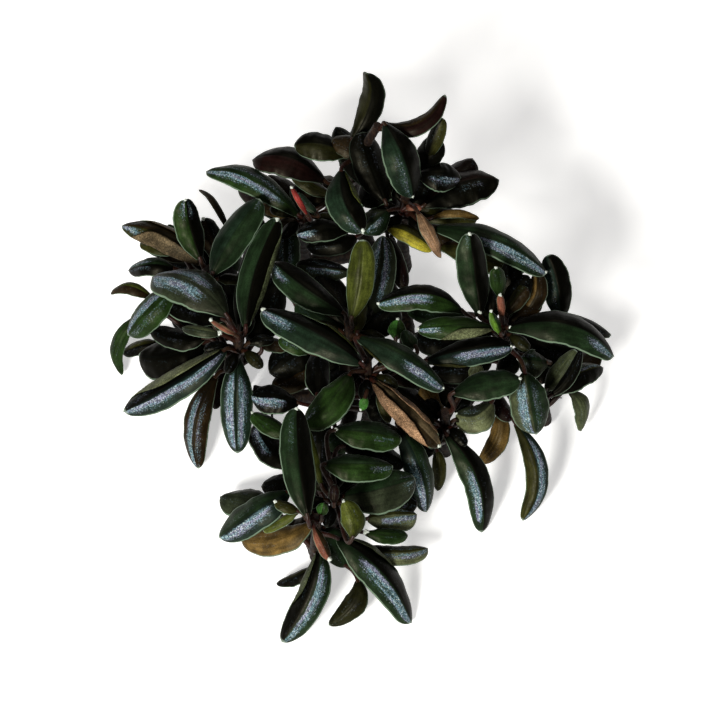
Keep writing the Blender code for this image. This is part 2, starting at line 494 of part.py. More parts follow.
def main_ring(leaf, along):
    """Eight points round the blade: the two margins, three above and three below."""
    _, _, normal = leaf.axes(along)
    thickness = BLADE_THICKNESS if along > 0.0 else BLADE_NECK_THICKNESS
    ring = [leaf.surface(along, -1.0)]
    for across in RIBS:
        ring.append(leaf.surface(along, across) + normal * thickness * 0.5)
    ring.append(leaf.surface(along, 1.0))
    for across in reversed(RIBS):
        ring.append(leaf.surface(along, across) - normal * thickness * 0.5)
    return ring


def small_ring(leaf, along):
    """Four points round a small blade: margin, upper side, margin and under side."""
    _, _, normal = leaf.axes(along)
    middle = leaf.surface(along, 0.0)
    above = BLADE_THICKNESS * 0.5 * normal
    return [leaf.surface(along, -1.0), middle + above, leaf.surface(along, 1.0), middle - above * KEEL]


def stalk_rings(leaf, stop):
    """Square rings along a leaf's stalk, turned as the blade's own rings are."""
    controls = petiole_line(leaf)
    side = leaf.axes(0.0)[1]
    rings = []
    for share, radius in zip(STALK_STATIONS, PETIOLE_RADII):
        centre = bezier(controls, share * stop)
        run = (bezier(controls, share * stop + 0.01) - bezier(controls, share * stop - 0.01)).normalized()
        across = (side - run * side.dot(run)).normalized() * radius
        above = run.cross(across)
        rings.append([centre - across, centre + above, centre + across, centre - above])
    return rings


def main_blade(leaf):
    return skin([main_ring(leaf, along) for along in MAIN_STATIONS], leaf.centre(1.0))


def main_stalk(leaf):
    controls = petiole_line(leaf)
    stop = 1.0 - STALK_GAP / (controls[3] - controls[0]).length
    return skin(stalk_rings(leaf, stop))


def small_leaf(leaf):
    """A small leaf and its stalk in one run of rings."""
    blade_rings = [small_ring(leaf, along) for along in SMALL_STATIONS]
    return skin(stalk_rings(leaf, SMALL_STALK_END)[:2] + blade_rings, leaf.centre(1.0))


def tube(centres, radii, upward, end_point=None):
    """A tapering six-sided rod that never goes under the table; upward turns its first flat side."""
    rings = []
    for index, centre in enumerate(centres):
        before = centres[max(index - 1, 0)]
        after = centres[min(index + 1, len(centres) - 1)]
        side = (after - before).cross(upward).normalized()
        above = side.cross(after - before).normalized()
        ring = []
        for k in range(ROD_SIDES):
            angle = math.tau * k / ROD_SIDES
            place = centre + (side * math.cos(angle) + above * math.sin(angle)) * radii[index]
            place.z = max(place.z, 0.0)
            ring.append(place)
        rings.append(ring)
    return skin(rings, end_point)


def root(points):
    centres = [Vector((x, y, ROOT_HEIGHT)) for x, y in points]
    tip = centres[-1].lerp(centres[-2], -0.3)
    return tube(centres, ROOT_RADII, UP, tip)


def smooth_path(points):
    """A rounded line through the points, in a few pieces between each two."""
    knots = [Vector(point) for point in points]
    knots = [knots[0] * 2.0 - knots[1]] + knots + [knots[-1] * 2.0 - knots[-2]]
    line = []
    for a, b, c, d in zip(knots, knots[1:], knots[2:], knots[3:]):
        for k in range(PATH_STEPS):
            t = k / PATH_STEPS
            line.append(0.5 * (2.0 * b + (c - a) * t + (2.0 * a - 5.0 * b + 4.0 * c - d) * t * t
                               + (3.0 * b - a - 3.0 * c + d) * t ** 3))
    line.append(knots[-2])
    return line


def creeping_run(points):
    line = smooth_path(points)
    radii = [RHIZOME_RADIUS * (1.0 + RHIZOME_SWELL * (-1) ** k) for k in range(len(line))]
    return tube(line, radii, UP)


def upright_run(points):
    line = smooth_path(points)
    last = len(line) - 1
    radii = [FOOT_RADIUS + (TOP_RADIUS - FOOT_RADIUS) * k / last for k in range(last + 1)]
    return tube(line, radii, BACK, line[-1] + UP * TOP_POINT)


def union_all(name, shapes):
    """One closed body from shapes that overlap each other."""
    body = new_object(name, *shapes[0], STEM_COLOUR, 0.55)
    for index, (verts, faces) in enumerate(shapes[1:]):
        cutter = new_object(f"{name}_shape_{index}", verts, faces, STEM_COLOUR, 0.55)
        cutter.hide_render = True
        cutter.display_type = "WIRE"
        joint = body.modifiers.new(f"union_{index}", "BOOLEAN")
        joint.operation = "UNION"
        joint.solver = "MANIFOLD"
        joint.object = cutter
    clean = body.modifiers.new("join_flat_faces", "DECIMATE")
    clean.decimate_type = "DISSOLVE"
    clean.angle_limit = math.radians(FLAT_ANGLE)
    return body


def build_stem(name, leaves):
    shapes = []
    if name in RHIZOMES:
        shapes.append(creeping_run(RHIZOMES[name]))
    if name in UPRIGHTS:
        shapes.append(upright_run(UPRIGHTS[name]))
    for points in ROOTS.get(name, []):
        shapes.append(root(points))
    for leaf in leaves:
        if leaf.stem == name:
            shapes.append(main_stalk(leaf) if leaf.main else small_leaf(leaf))
    return union_all(name, shapes)


def build():
    for thing in list(bpy.data.objects):
        bpy.data.objects.remove(thing, do_unlink=True)
    leaves = [Leaf(name, row, True) for name, row in MAIN_LEAVES.items()]
    leaves += [Leaf(name, row, False) for name, row in SMALL_LEAVES.items()]
    part_leaves(leaves)
    for stem in sorted(set(RHIZOMES) | set(UPRIGHTS)):
        build_stem(stem, leaves)
    for leaf in leaves:
        if leaf.main:
            verts, faces = main_blade(leaf)
            new_object(leaf.name, verts, faces, TONES[leaf.tone], 0.35)


build()
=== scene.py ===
"""Looks of a bucephalandra: glittering dark leaves on red-brown stalks and creeping rhizomes, with painted shade and
painted sheen on the leaves.

Leaves, stalks and stems are made finely here, along the same lines as their solids. Tables are
in millimetres, leaves as they stand in a slanted front view: so far to the right, so far up
that view, and so high over the table.
"""

import math

import bpy
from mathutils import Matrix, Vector


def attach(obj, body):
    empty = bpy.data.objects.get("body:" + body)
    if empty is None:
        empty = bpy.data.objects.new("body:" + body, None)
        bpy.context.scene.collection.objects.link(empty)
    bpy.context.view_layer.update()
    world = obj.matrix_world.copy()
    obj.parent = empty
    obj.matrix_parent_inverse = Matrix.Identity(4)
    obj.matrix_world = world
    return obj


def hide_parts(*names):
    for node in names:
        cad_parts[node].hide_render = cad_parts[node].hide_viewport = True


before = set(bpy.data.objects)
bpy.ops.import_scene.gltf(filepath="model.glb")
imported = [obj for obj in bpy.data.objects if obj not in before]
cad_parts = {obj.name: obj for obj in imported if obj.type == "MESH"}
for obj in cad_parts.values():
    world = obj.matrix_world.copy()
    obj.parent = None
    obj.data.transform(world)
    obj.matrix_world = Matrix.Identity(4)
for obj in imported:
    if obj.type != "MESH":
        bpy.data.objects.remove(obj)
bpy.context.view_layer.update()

METRES = 0.001
VIEW_SLANT = 60.0
PLAN_CENTRE = Vector((0.34, -15.9, 0.0))
UP = Vector((0.0, 0.0, 1.0))
SLANT_SIN = math.sin(math.radians(VIEW_SLANT))
SLANT_COS = math.cos(math.radians(VIEW_SLANT))

# Sizes of the leaves and stems, in millimetres
BLADE_THICKNESS = 0.5
BLADE_BASE_HALF_WIDTH = 0.5
FOOT_RADIUS = 1.9
TOP_RADIUS = 1.3
RHIZOME_RADIUS = 1.85
STALK_START = 0.9
STALK_RADII = (0.75, 0.6, 0.5)
STALK_RUN_ON = 0.8
ROOT_RADIUS = 0.4
FOLD_RADIUS = 0.22

# Shape of a blade, as shares of its size
BLADE_ARCH = 0.46
ARCH_POWER = 1.4
WIDEST_AT = 0.45
BASE_TAPER = 0.7
TIP_BLUNTNESS = 3.3
BLADE_FULLNESS = 1.05
FOLD_ANGLE = 152.0
MOST_ROLL = 16.0

# Colours of leaf tissue, linear red, green and blue; the near-black one is painted shade rather than tissue
TONES = {
    "dark_green": (0.0054, 0.0120, 0.0046),
    "green": (0.0070, 0.0168, 0.0032),
    "bud_green": (0.026, 0.085, 0.014),
    "teal": (0.0054, 0.0118, 0.0064),
    "blue": (0.0050, 0.0105, 0.0076),
    # near-black: painted shade, for leaf halves turned from the light and for leaves deep in the plant's shadow
    "black": (0.0005, 0.0005, 0.0002),
    "grey_green": (0.0125, 0.0160, 0.0085),
    "sage": (0.060, 0.067, 0.032),
    "olive": (0.0145, 0.0145, 0.0030),
    "dark_olive": (0.0060, 0.0060, 0.0015),
    "moss": (0.022, 0.027, 0.004),
    "grey_moss": (0.028, 0.034, 0.016),
    "yellow_olive": (0.036, 0.043, 0.007),
    "yellow": (0.150, 0.130, 0.012),
    "gold": (0.066, 0.040, 0.011),
    "tan": (0.135, 0.080, 0.044),
    "sheath": (0.100, 0.036, 0.022),
    "dull_tan": (0.050, 0.036, 0.019),
    "brown": (0.0095, 0.0056, 0.0020),
    "maroon": (0.0048, 0.0016, 0.0014),
    "red": (0.110, 0.012, 0.010),
    "lime": (0.050, 0.105, 0.011),
}

# Stems: plan places and heights of their centre lines, as the solids have them
RHIZOMES = {
    "rhizome_middle": [(-26.8, -11, 1.5), (-16, -12.5, 1.5), (-3, -10.5, 1.5), (16, -9.5, 1.5), (32.6, -9, 1.5)],
    "rhizome_back": [(10, -6.8, 1.5), (12, 8, 1.5), (7, 21, 1.5), (2, 33, 1.5), (-1, 40, 1.5)],
    "rhizome_front": [(-1.5, -13.4, 1.5), (-4, -24, 1.5), (-9, -38, 1.5), (-12, -50, 1.5), (-10.5, -58, 1.5)],
    "stem_upper_left": [(-31.8, -5.2, 1.5), (-35, 2, 1.5), (-38, 10.7, 1.5)],
    "stem_back_left": [(0.2, 29.6, 1.5), (-8, 28, 1.5), (-13.8, 26.8, 1.5)],
    "stem_back_right": [(9.6, 23.4, 1.5), (11.3, 25.7, 1.5)],
    "stem_low_right": [(38.2, -10.8, 1.5), (43, -15, 1.5), (46.3, -19, 1.5)],
    "stem_front_right": [(6.4, -21.8, 1.5), (14, -25, 1.5), (21.3, -28, 1.5)],
}
UPRIGHTS = {
    "rhizome_middle": [(-3, -10.5, 1.5), (-2.8, -8, 14), (-2.5, -6.6, 29)],
    "rhizome_back": [(-1, 40, 1.5), (-1, 40, 26), (4.5, 38, 50)],
    "rhizome_front": [(-10.5, -58, 1.5), (-10.8, -58, 10), (-10.5, -58, 22)],
    "stem_left": [(-30, -9, 0.3), (-30.4, -9.4, 14), (-30, -9, 27)],
    "stem_upper_left": [(-38, 10.7, 1.5), (-38.4, 10.5, 12), (-38, 10.7, 26)],
    "stem_back_left": [(-13.8, 26.8, 1.5), (-14.2, 27, 14), (-13.8, 26.8, 30)],
    "stem_back_right": [(11.3, 25.7, 1.5), (11.0, 25.8, 16), (11.6, 25.4, 36)],
    "stem_centre": [(2, -20.5, 0.3), (2.4, -20.8, 15), (2, -20.5, 34)],
    "stem_right": [(35.5, -8.7, 0.3), (35.9, -8.9, 15), (35.5, -8.7, 34)],
    "stem_low_right": [(46.3, -19, 1.5), (46.3, -19, 8), (46.3, -19, 15)],
    "stem_front_right": [(21.3, -28, 1.5), (21.6, -28.2, 10), (21.3, -28, 22)],
    "stem_front": [(-6.3, -50.8, 0.3), (-6.1, -50.6, 10), (-6.3, -50.8, 24)],
}
ROOTS = {
    "rhizome_middle": [[(-20, -13), (-22, -17), (-20, -21)], [(5, -10), (7, -14), (6, -18)],
                       [(22, -9.5), (24, -4), (23, 1)]],
    "rhizome_back": [[(11, 4), (15, 7), (19, 6)], [(5, 26), (9, 31), (10, 36)]],
    "rhizome_front": [[(-6, -30), (-2, -33), (0, -38)], [(-11, -46), (-16, -48), (-20, -46)]],
    "stem_upper_left": [[(-36, 5), (-41, 4), (-45, 6)]],
    "stem_front_right": [[(15, -25.5), (17, -31), (16, -36)]],
    "stem_low_right": [[(43, -15), (46, -12), (51, -12)]],
}

# Small bracts around a stem, under its leaves, near-black as painted shade filling the dark gaps at the stem: how many,
# how long and wide, and how far below the top
BRACT_STEMS = ("stem_left", "rhizome_middle", "stem_centre", "stem_right", "stem_upper_left", "stem_back_left",
               "stem_back_right", "stem_front", "stem_front_right")
BRACTS = 6
BRACT_LENGTH = 9.0
BRACT_WIDTH = 3.4
BRACT_DROP = 5.0
BRACT_PAINTED_SHADE_TONES = ("black", "dark_olive", "black")

# Main leaves: stem, then base, middle and tip as (right, up the slanted view, height), width and colour
MAIN_LEAVES = {
    "leaf_left_01": ("stem_left", (-33, 10.5, 27), (-42.3, 19, 29), (-52, 20, 21), 11.4, "grey_green"),
    "leaf_left_02": ("stem_left", (-46, 17.5, 22), (-52.5, 12, 20), (-58, 5.5, 12), 7.8, "green"),
    "leaf_left_03": ("stem_upper_left", (-39.3, 23.3, 25), (-49.3, 30.6, 28), (-59.8, 33.2, 24), 6.6, "brown"),
    "leaf_left_04": ("stem_upper_left", (-39.8, 24.5, 27), (-42.3, 32, 32), (-43.5, 39.5, 38), 6.8, "green"),
    "leaf_left_05": ("stem_upper_left", (-36.8, 20.8, 28), (-31.8, 30.4, 33), (-25, 39.8, 36), 8.4, "teal"),
    "leaf_left_06": ("stem_left", (-28.3, 7.5, 29), (-26.2, 21.3, 34), (-20.3, 34.8, 38), 7.3, "dark_green"),
    "leaf_left_07": ("stem_left", (-30.5, 0, 22), (-30.8, -11.3, 17), (-30.5, -24, 5), 7.8, "teal"),
    "leaf_left_08": ("stem_left", (-33.5, 2, 24), (-45, -5.8, 20), (-59, -13.6, 8), 8, "blue"),
    "leaf_left_09": ("stem_left", (-35.8, -4.5, 16), (-41, -16.3, 11), (-40.3, -27.8, 2), 6.3, "brown"),
    "leaf_left_10": ("stem_left", (-38.8, 3.8, 14), (-47.5, 0.5, 12), (-55.5, 0.5, 7), 10.8, "brown"),
    "leaf_back_01": ("stem_back_left", (-15, 35.5, 29), (-27.3, 45, 33), (-38.2, 47.2, 27), 7.2, "olive"),
    "leaf_back_02": ("rhizome_back", (-8.5, 44.3, 30), (-18, 50.2, 36), (-27, 49.5, 32), 9, "maroon"),
    "leaf_back_03": ("rhizome_back", (-2.5, 51, 34), (-9.5, 53.5, 38), (-16.5, 53.3, 36), 7.6, "olive"),
    "leaf_back_04": ("rhizome_back", (-2, 54.5, 38), (2.6, 63.5, 46), (2.6, 70.8, 56), 6.2, "brown"),
    "leaf_back_05": ("rhizome_back", (6.6, 58.4, 52.2), (14.5, 58.2, 53), (22.3, 65, 56), 5, "tan"),
    "leaf_back_06": ("rhizome_back", (6.3, 58.3, 52), (11.2, 48.8, 50), (13.3, 39.8, 40), 9, "teal"),
    "leaf_back_07": ("stem_back_right", (14.5, 45.8, 40), (20, 45.8, 42), (25.3, 44.8, 38), 7.6, "black"),
    "leaf_back_08": ("stem_back_right", (16, 38, 34), (25.5, 43.8, 36), (35, 44.5, 34), 10.4, "maroon"),
    "leaf_back_09": ("rhizome_back", (-4.6, 47, 40), (-3.9, 38.8, 42), (1, 31.3, 38), 8, "teal"),
    "leaf_back_10": ("stem_back_right", (9.5, 44.5, 34), (4.8, 43.8, 35), (0.3, 38, 32), 9.4, "black"),
    "leaf_back_11": ("stem_back_right", (18.3, 32.5, 38), (34, 29.4, 42), (46.8, 21, 34), 8, "dark_green"),
    "leaf_back_12": ("stem_back_right", (20, 28, 32), (30, 26.8, 34), (41.3, 21.3, 28), 8.4, "brown"),
    "leaf_middle_01": ("rhizome_middle", (1.5, 9.5, 22), (4.6, 18.8, 26), (5.8, 30.5, 30), 7.5, "grey_green"),
    "leaf_middle_02": ("rhizome_middle", (-3.8, 11, 30), (-13.8, 17.5, 33), (-21.5, 23.8, 30), 8, "black"),
    "leaf_middle_03": ("stem_centre", (0.5, -1.5, 36), (-11.3, 6.3, 39), (-24.3, 12, 34), 9, "teal"),
    "leaf_middle_04": ("stem_centre", (-0.5, 5, 39.5), (11.3, 0, 40), (21, -7.8, 32), 7.6, "teal"),
    "leaf_middle_05": ("rhizome_middle", (-2, 9.8, 33), (0.1, 18.8, 40), (0.8, 29.3, 46), 6.6, "yellow_olive"),
    "leaf_middle_06": ("stem_right", (25.8, 11.5, 30), (16.3, 15.8, 35), (4.3, 13.3, 32), 7.6, "green"),
    "leaf_middle_07": ("stem_right", (33.3, 7.5, 34), (23.8, 8, 36), (14.3, 7, 33), 6, "green"),
    "leaf_middle_08": ("stem_centre", (16.3, -0.8, 30), (27.5, 2, 33), (38, 2.8, 30), 7, "blue"),
    "leaf_middle_09": ("stem_front_right", (23, -8.8, 24), (31.8, -5.8, 27), (40, -5.3, 26), 8.4, "green"),
    "leaf_right_01": ("stem_right", (36.5, 7.3, 33), (51.2, 8.2, 37), (63.5, 1.2, 27), 9, "dark_green"),
    "leaf_right_02": ("stem_right", (30, 10.5, 34), (28.5, 20.5, 42), (27.3, 30.8, 50), 7.5, "green"),
    "leaf_right_03": ("stem_right", (50.2, 9, 26), (49.4, 17.6, 31), (46.9, 25.6, 35), 6.8, "blue"),
    "leaf_right_04": ("stem_low_right", (46.8, -9.5, 15), (54.6, -4.2, 17), (61, -2.5, 13), 6.2, "olive"),
    "leaf_right_05": ("stem_right", (41, -3.5, 25), (42.3, -11.3, 22), (43.8, -19, 14), 9.5, "sage"),
    "leaf_right_06": ("stem_low_right", (38.8, -16.3, 15), (44.3, -28.8, 10), (41.3, -41, 1.2), 5.6, "blue"),
    "leaf_front_01": ("stem_centre", (3.5, -5.8, 30), (11.3, -13.3, 29), (20, -22.3, 20), 6, "tan"),
    "leaf_front_02": ("stem_front_right", (9.5, -17, 20), (15, -27.5, 16), (16.8, -38.5, 5), 6.8, "blue"),
    "leaf_front_03": ("stem_front_right", (21.5, -19, 18), (29.4, -30.6, 13), (30.5, -43.6, 1.2), 7, "black"),
    "leaf_front_04": ("stem_centre", (-2.3, -4, 33), (-7, -10.5, 33), (-13.8, -16.8, 28), 8.6, "green"),
    "leaf_front_05": ("rhizome_front", (-17.4, -32.9, 20), (-25.7, -38, 18), (-34.8, -44.5, 8), 8.6, "blue"),
    "leaf_front_06": ("rhizome_front", (-12.8, -39, 24), (-15, -25.5, 30), (-15.5, -12.3, 34), 8, "dark_green"),
    "leaf_front_07": ("rhizome_front", (-9.8, -47.5, 16), (-12, -58.8, 11), (-19.2, -70.4, 1.2), 7.2, "black"),
    "leaf_front_08": ("rhizome_front", (-5.5, -44.6, 20), (4.9, -52.5, 16), (13.7, -64.8, 3), 8.9, "black"),
    "leaf_front_09": ("stem_front", (-4.3, -34.3, 20), (5, -32.6, 23), (13.8, -29.8, 20), 10.2, "grey_green"),
    "leaf_front_10": ("stem_front", (-8.8, -26.3, 26), (-0.5, -26.3, 27), (8.3, -26.8, 24), 8, "green"),
    "leaf_front_11": ("stem_front", (-6.3, -18, 27), (2, -18.5, 28), (10.5, -20.3, 24), 7.8, "green"),
}

# Small leaves and shoots, which are one with the stem they grow from
SMALL_LEAVES = {
    "left_a": ("stem_left", (-55.5, 10.5, 16), (-61, 3.2, 10), (-60.8, -4.3, 2), 4, "green"),
    "left_b": ("stem_left", (-51.5, 14.5, 14), (-57.5, 17.8, 17), (-62.3, 17, 12), 3.8, "yellow_olive"),
    "left_c": ("stem_upper_left", (-46.3, 22.4, 17), (-52.5, 23.4, 18), (-58.3, 21.9, 12), 5.2, "olive"),
    "left_d": ("stem_upper_left", (-36.8, 24.5, 20), (-37, 30, 24), (-39.3, 34.8, 27), 5.5, "brown"),
    "left_e": ("stem_left", (-38.8, 5, 19), (-45, 5, 18), (-52.5, 7.5, 15), 5.8, "black"),
    "left_f": ("stem_left", (-34.5, 5.8, 22), (-39.3, 6.8, 23), (-44.3, 7.5, 20), 3.2, "dull_tan"),
    "left_g": ("stem_left", (-33.8, 9.5, 22), (-40.5, 11.3, 18), (-48.8, 13.8, 14), 5.8, "brown"),
    "left_h": ("stem_left", (-50, 3.8, 9), (-55, 3, 8), (-59.8, 1, 4), 4, "olive"),
    "left_i": ("stem_upper_left", (-46.3, 26.3, 18), (-50.8, 27.5, 18.5), (-55.3, 28.8, 17), 3.2, "olive"),
    "left_j": ("stem_upper_left", (-43.8, 28.8, 18), (-46, 31.2, 18.5), (-48.3, 33.5, 18), 2.8, "green"),
    "left_k": ("stem_upper_left", (-32, 30, 18), (-36.3, 38.5, 20), (-40, 42.8, 16), 1.8, "brown"),
    "left_l": ("stem_left", (-30.5, 5.5, 27), (-33.8, 7.4, 29), (-37, 9.3, 30), 1.6, "sheath"),
    "left_m": ("stem_left", (-25.5, 3.8, 16), (-21.5, 3.6, 17), (-17.5, 3, 16), 4.2, "brown"),
    "back_a": ("stem_back_left", (-14.3, 34.5, 22), (-22.5, 38.8, 25), (-30.5, 43.5, 20), 5.8, "maroon"),
    "back_b": ("stem_back_left", (-7.5, 40.8, 28), (-12.3, 43.5, 29), (-16.8, 46.5, 30), 4.2, "olive"),
    "back_c": ("stem_back_left", (-12.8, 35.3, 33), (-14.9, 38.9, 36), (-17, 42.5, 38), 1.5, "red"),
    "back_d": ("stem_back_left", (-10.5, 35.8, 30), (-12.9, 38.5, 31), (-15.3, 41.3, 32), 2.2, "teal"),
    "back_e": ("rhizome_middle", (-17.5, 17.5, 18), (-18.5, 26.3, 22), (-18, 32.3, 24), 6.8, "grey_green"),
    "back_f": ("stem_back_right", (-2.5, 32, 28), (-9.5, 32.5, 30), (-15.8, 31, 28), 6.4, "black"),
    "back_g": ("stem_back_right", (16.5, 49.3, 40), (18.6, 54.3, 46), (20.8, 59.8, 50), 4, "olive"),
    "back_h": ("stem_back_right", (7.5, 36.8, 32), (3.8, 34.5, 32), (0.8, 31, 28), 6.8, "grey_green"),
    "back_i": ("stem_back_right", (14.5, 36.3, 38), (17.5, 30.8, 36), (20.3, 24.8, 30), 3.4, "tan"),
    "back_j": ("stem_back_right", (7, 32.3, 32), (12, 31.3, 33), (18.5, 26.8, 30), 5, "yellow"),
    "back_k": ("stem_back_right", (18, 34.8, 34), (23.8, 36.3, 36), (30, 34.8, 34), 2.6, "gold"),
    "back_l": ("stem_back_right", (7, 30.5, 28), (8.8, 24.5, 26), (11.3, 17, 22), 4.8, "maroon"),
    "middle_a": ("rhizome_middle", (-2, 21.3, 26), (-8.8, 22.5, 27), (-16, 23.3, 25), 5.6, "grey_green"),
    "middle_b": ("rhizome_middle", (9, 4.5, 32), (9.3, 7, 33.5), (9.5, 9.5, 34), 4.4, "bud_green"),
    "middle_c": ("stem_centre", (14, 2.5, 33), (12.5, 4.6, 33.5), (11, 6.8, 33), 3.6, "dark_green"),
    "middle_d": ("stem_front_right", (30, -1.5, 26), (29, -3.2, 25.5), (27.8, -5.3, 24), 3.6, "sage"),
    "middle_e": ("rhizome_middle", (-12.5, 1.3, 26), (-16.2, 3.2, 27), (-20, 5, 27), 4.4, "green"),
    "middle_f": ("stem_centre", (-10.5, -9.5, 24), (-10.5, -3.8, 23), (-10.5, 2, 20), 6, "black"),
    "right_a": ("stem_right", (42.5, 8.8, 28), (52.5, 9.5, 31), (62.8, 5.5, 24), 5, "black"),
    "right_b": ("stem_right", (34.8, 15, 36), (34.5, 18.8, 40), (33.8, 22.3, 43), 4, "green"),
    "right_c": ("stem_right", (35.8, 15, 30), (37.5, 20, 34), (37, 24.5, 36), 5.5, "black"),
    "right_d": ("stem_right", (35.5, 9.8, 36), (35.2, 12.6, 39), (34.8, 15.5, 42), 2, "sheath"),
    "right_e": ("stem_right", (36.3, 10.5, 30), (39.3, 15, 33), (41.8, 17.5, 34), 4.6, "brown"),
    "right_f": ("stem_right", (40, 10.5, 26), (43.8, 15.5, 30), (43.8, 21.3, 32), 5, "olive"),
    "right_g": ("stem_right", (35, 5.8, 36), (33.8, 8.6, 39), (32.5, 11.5, 41), 2.6, "lime"),
    "right_h": ("stem_right", (47, -1.3, 24), (43.2, -0.8, 26), (39.5, -0.5, 24), 7.6, "grey_green"),
    "right_i": ("stem_low_right", (46.3, -8, 16), (49.5, -3.8, 19), (53.8, 2, 22), 5.6, "sage"),
    "right_j": ("stem_low_right", (47.3, -9.5, 18), (52, -5, 21), (55, 2, 24), 3.2, "black"),
    "right_k": ("stem_low_right", (52.5, -8.5, 13), (56, -12.5, 10), (55.5, -18.5, 3), 4.4, "grey_moss"),
    "right_l": ("stem_front_right", (34.8, -13, 14), (34.5, -20, 11), (30, -26.5, 4), 5, "gold"),
    "right_m": ("stem_front_right", (33, -11, 19), (28.8, -14.5, 19), (24, -14, 17), 7.8, "sage"),
    "right_n": ("stem_front_right", (32.6, -8.6, 17.4), (35, -11.6, 16.6), (38, -15.8, 14), 4.6, "maroon"),
    "front_a": ("stem_front_right", (19.2, -22.8, 12), (19.8, -27.5, 9), (19.4, -33.3, 3), 3.4, "olive"),
    "front_b": ("stem_front_right", (21.3, -13.8, 20), (18.3, -10.8, 22), (16, -7, 24), 5.2, "gold"),
    "front_c": ("stem_centre", (4.5, -8, 24), (6, -12.2, 23), (7.5, -16.3, 20), 2.8, "olive"),
    "front_d": ("stem_centre", (1.5, -9.5, 30), (0.9, -11.3, 29), (0.3, -13, 27), 2.4, "bud_green"),
    "front_e": ("stem_centre", (-15, -11.3, 18), (-21.3, -9.8, 20), (-27, -9.5, 18), 7.6, "black"),
    "front_f": ("stem_front", (-17.5, -20, 16), (-22.5, -16.3, 17), (-26.8, -13.8, 15), 5.2, "green"),
    "front_g": ("stem_front", (-17, -27.5, 10), (-22.5, -22, 10), (-26, -16.3, 8), 7.2, "black"),
    "front_h": ("stem_front", (-9.3, -31.8, 22), (-11.5, -24.5, 26), (-13.3, -17, 28), 2.8, "yellow_olive"),
    "front_i": ("rhizome_front", (-22.5, -37.3, 10), (-28.8, -35, 9), (-34.7, -34.6, 6), 8.8, "grey_green"),
    "front_j": ("rhizome_front", (-11.8, -40.5, 16), (-20, -44.5, 12), (-29.3, -45, 5), 7.4, "gold"),
    "front_k": ("rhizome_front", (-15.3, -38, 20), (-19.3, -40.3, 18), (-23.8, -42.8, 15), 2.8, "yellow_olive"),
    "front_l": ("rhizome_front", (-14.8, -37.8, 21), (-17.8, -36.6, 22), (-20.8, -35.5, 22), 3.2, "olive"),
    "front_m": ("rhizome_front", (-0.5, -55, 8), (-1.6, -61, 6), (-7.7, -66.3, 1.2), 5.8, "olive"),
    "front_n": ("rhizome_front", (-11, -51.8, 10), (-16, -54.3, 7), (-20.6, -56, 3), 4, "olive"),
    "front_o": ("stem_front", (-1.8, -44.5, 22), (-1.5, -40, 25), (-4, -35.3, 27), 5.8, "yellow_olive"),
    "front_p": ("stem_front", (1.8, -40, 13), (8, -39, 14), (14.3, -39, 11), 8, "sage"),
    "front_q": ("stem_front", (1.3, -43.3, 15), (7, -43.8, 15), (12, -44, 12), 4.2, "green"),
    "front_r": ("stem_front", (1.3, -47, 12), (9.3, -48.3, 12), (17, -47.3, 8), 5.8, "sage"),
    "front_s": ("rhizome_front", (-9.5, -39, 24), (-9.2, -37.4, 26), (-8.8, -35.8, 27), 3, "bud_green"),
    "front_t": ("rhizome_front", (-11.3, -41.3, 24), (-9.3, -45.6, 23), (-7.3, -49.8, 20), 2.8, "sheath"),
    "front_u": ("stem_front", (-6.3, -36.3, 22), (-6.3, -33.8, 24), (-6.3, -31.3, 25), 2.6, "maroon"),
}
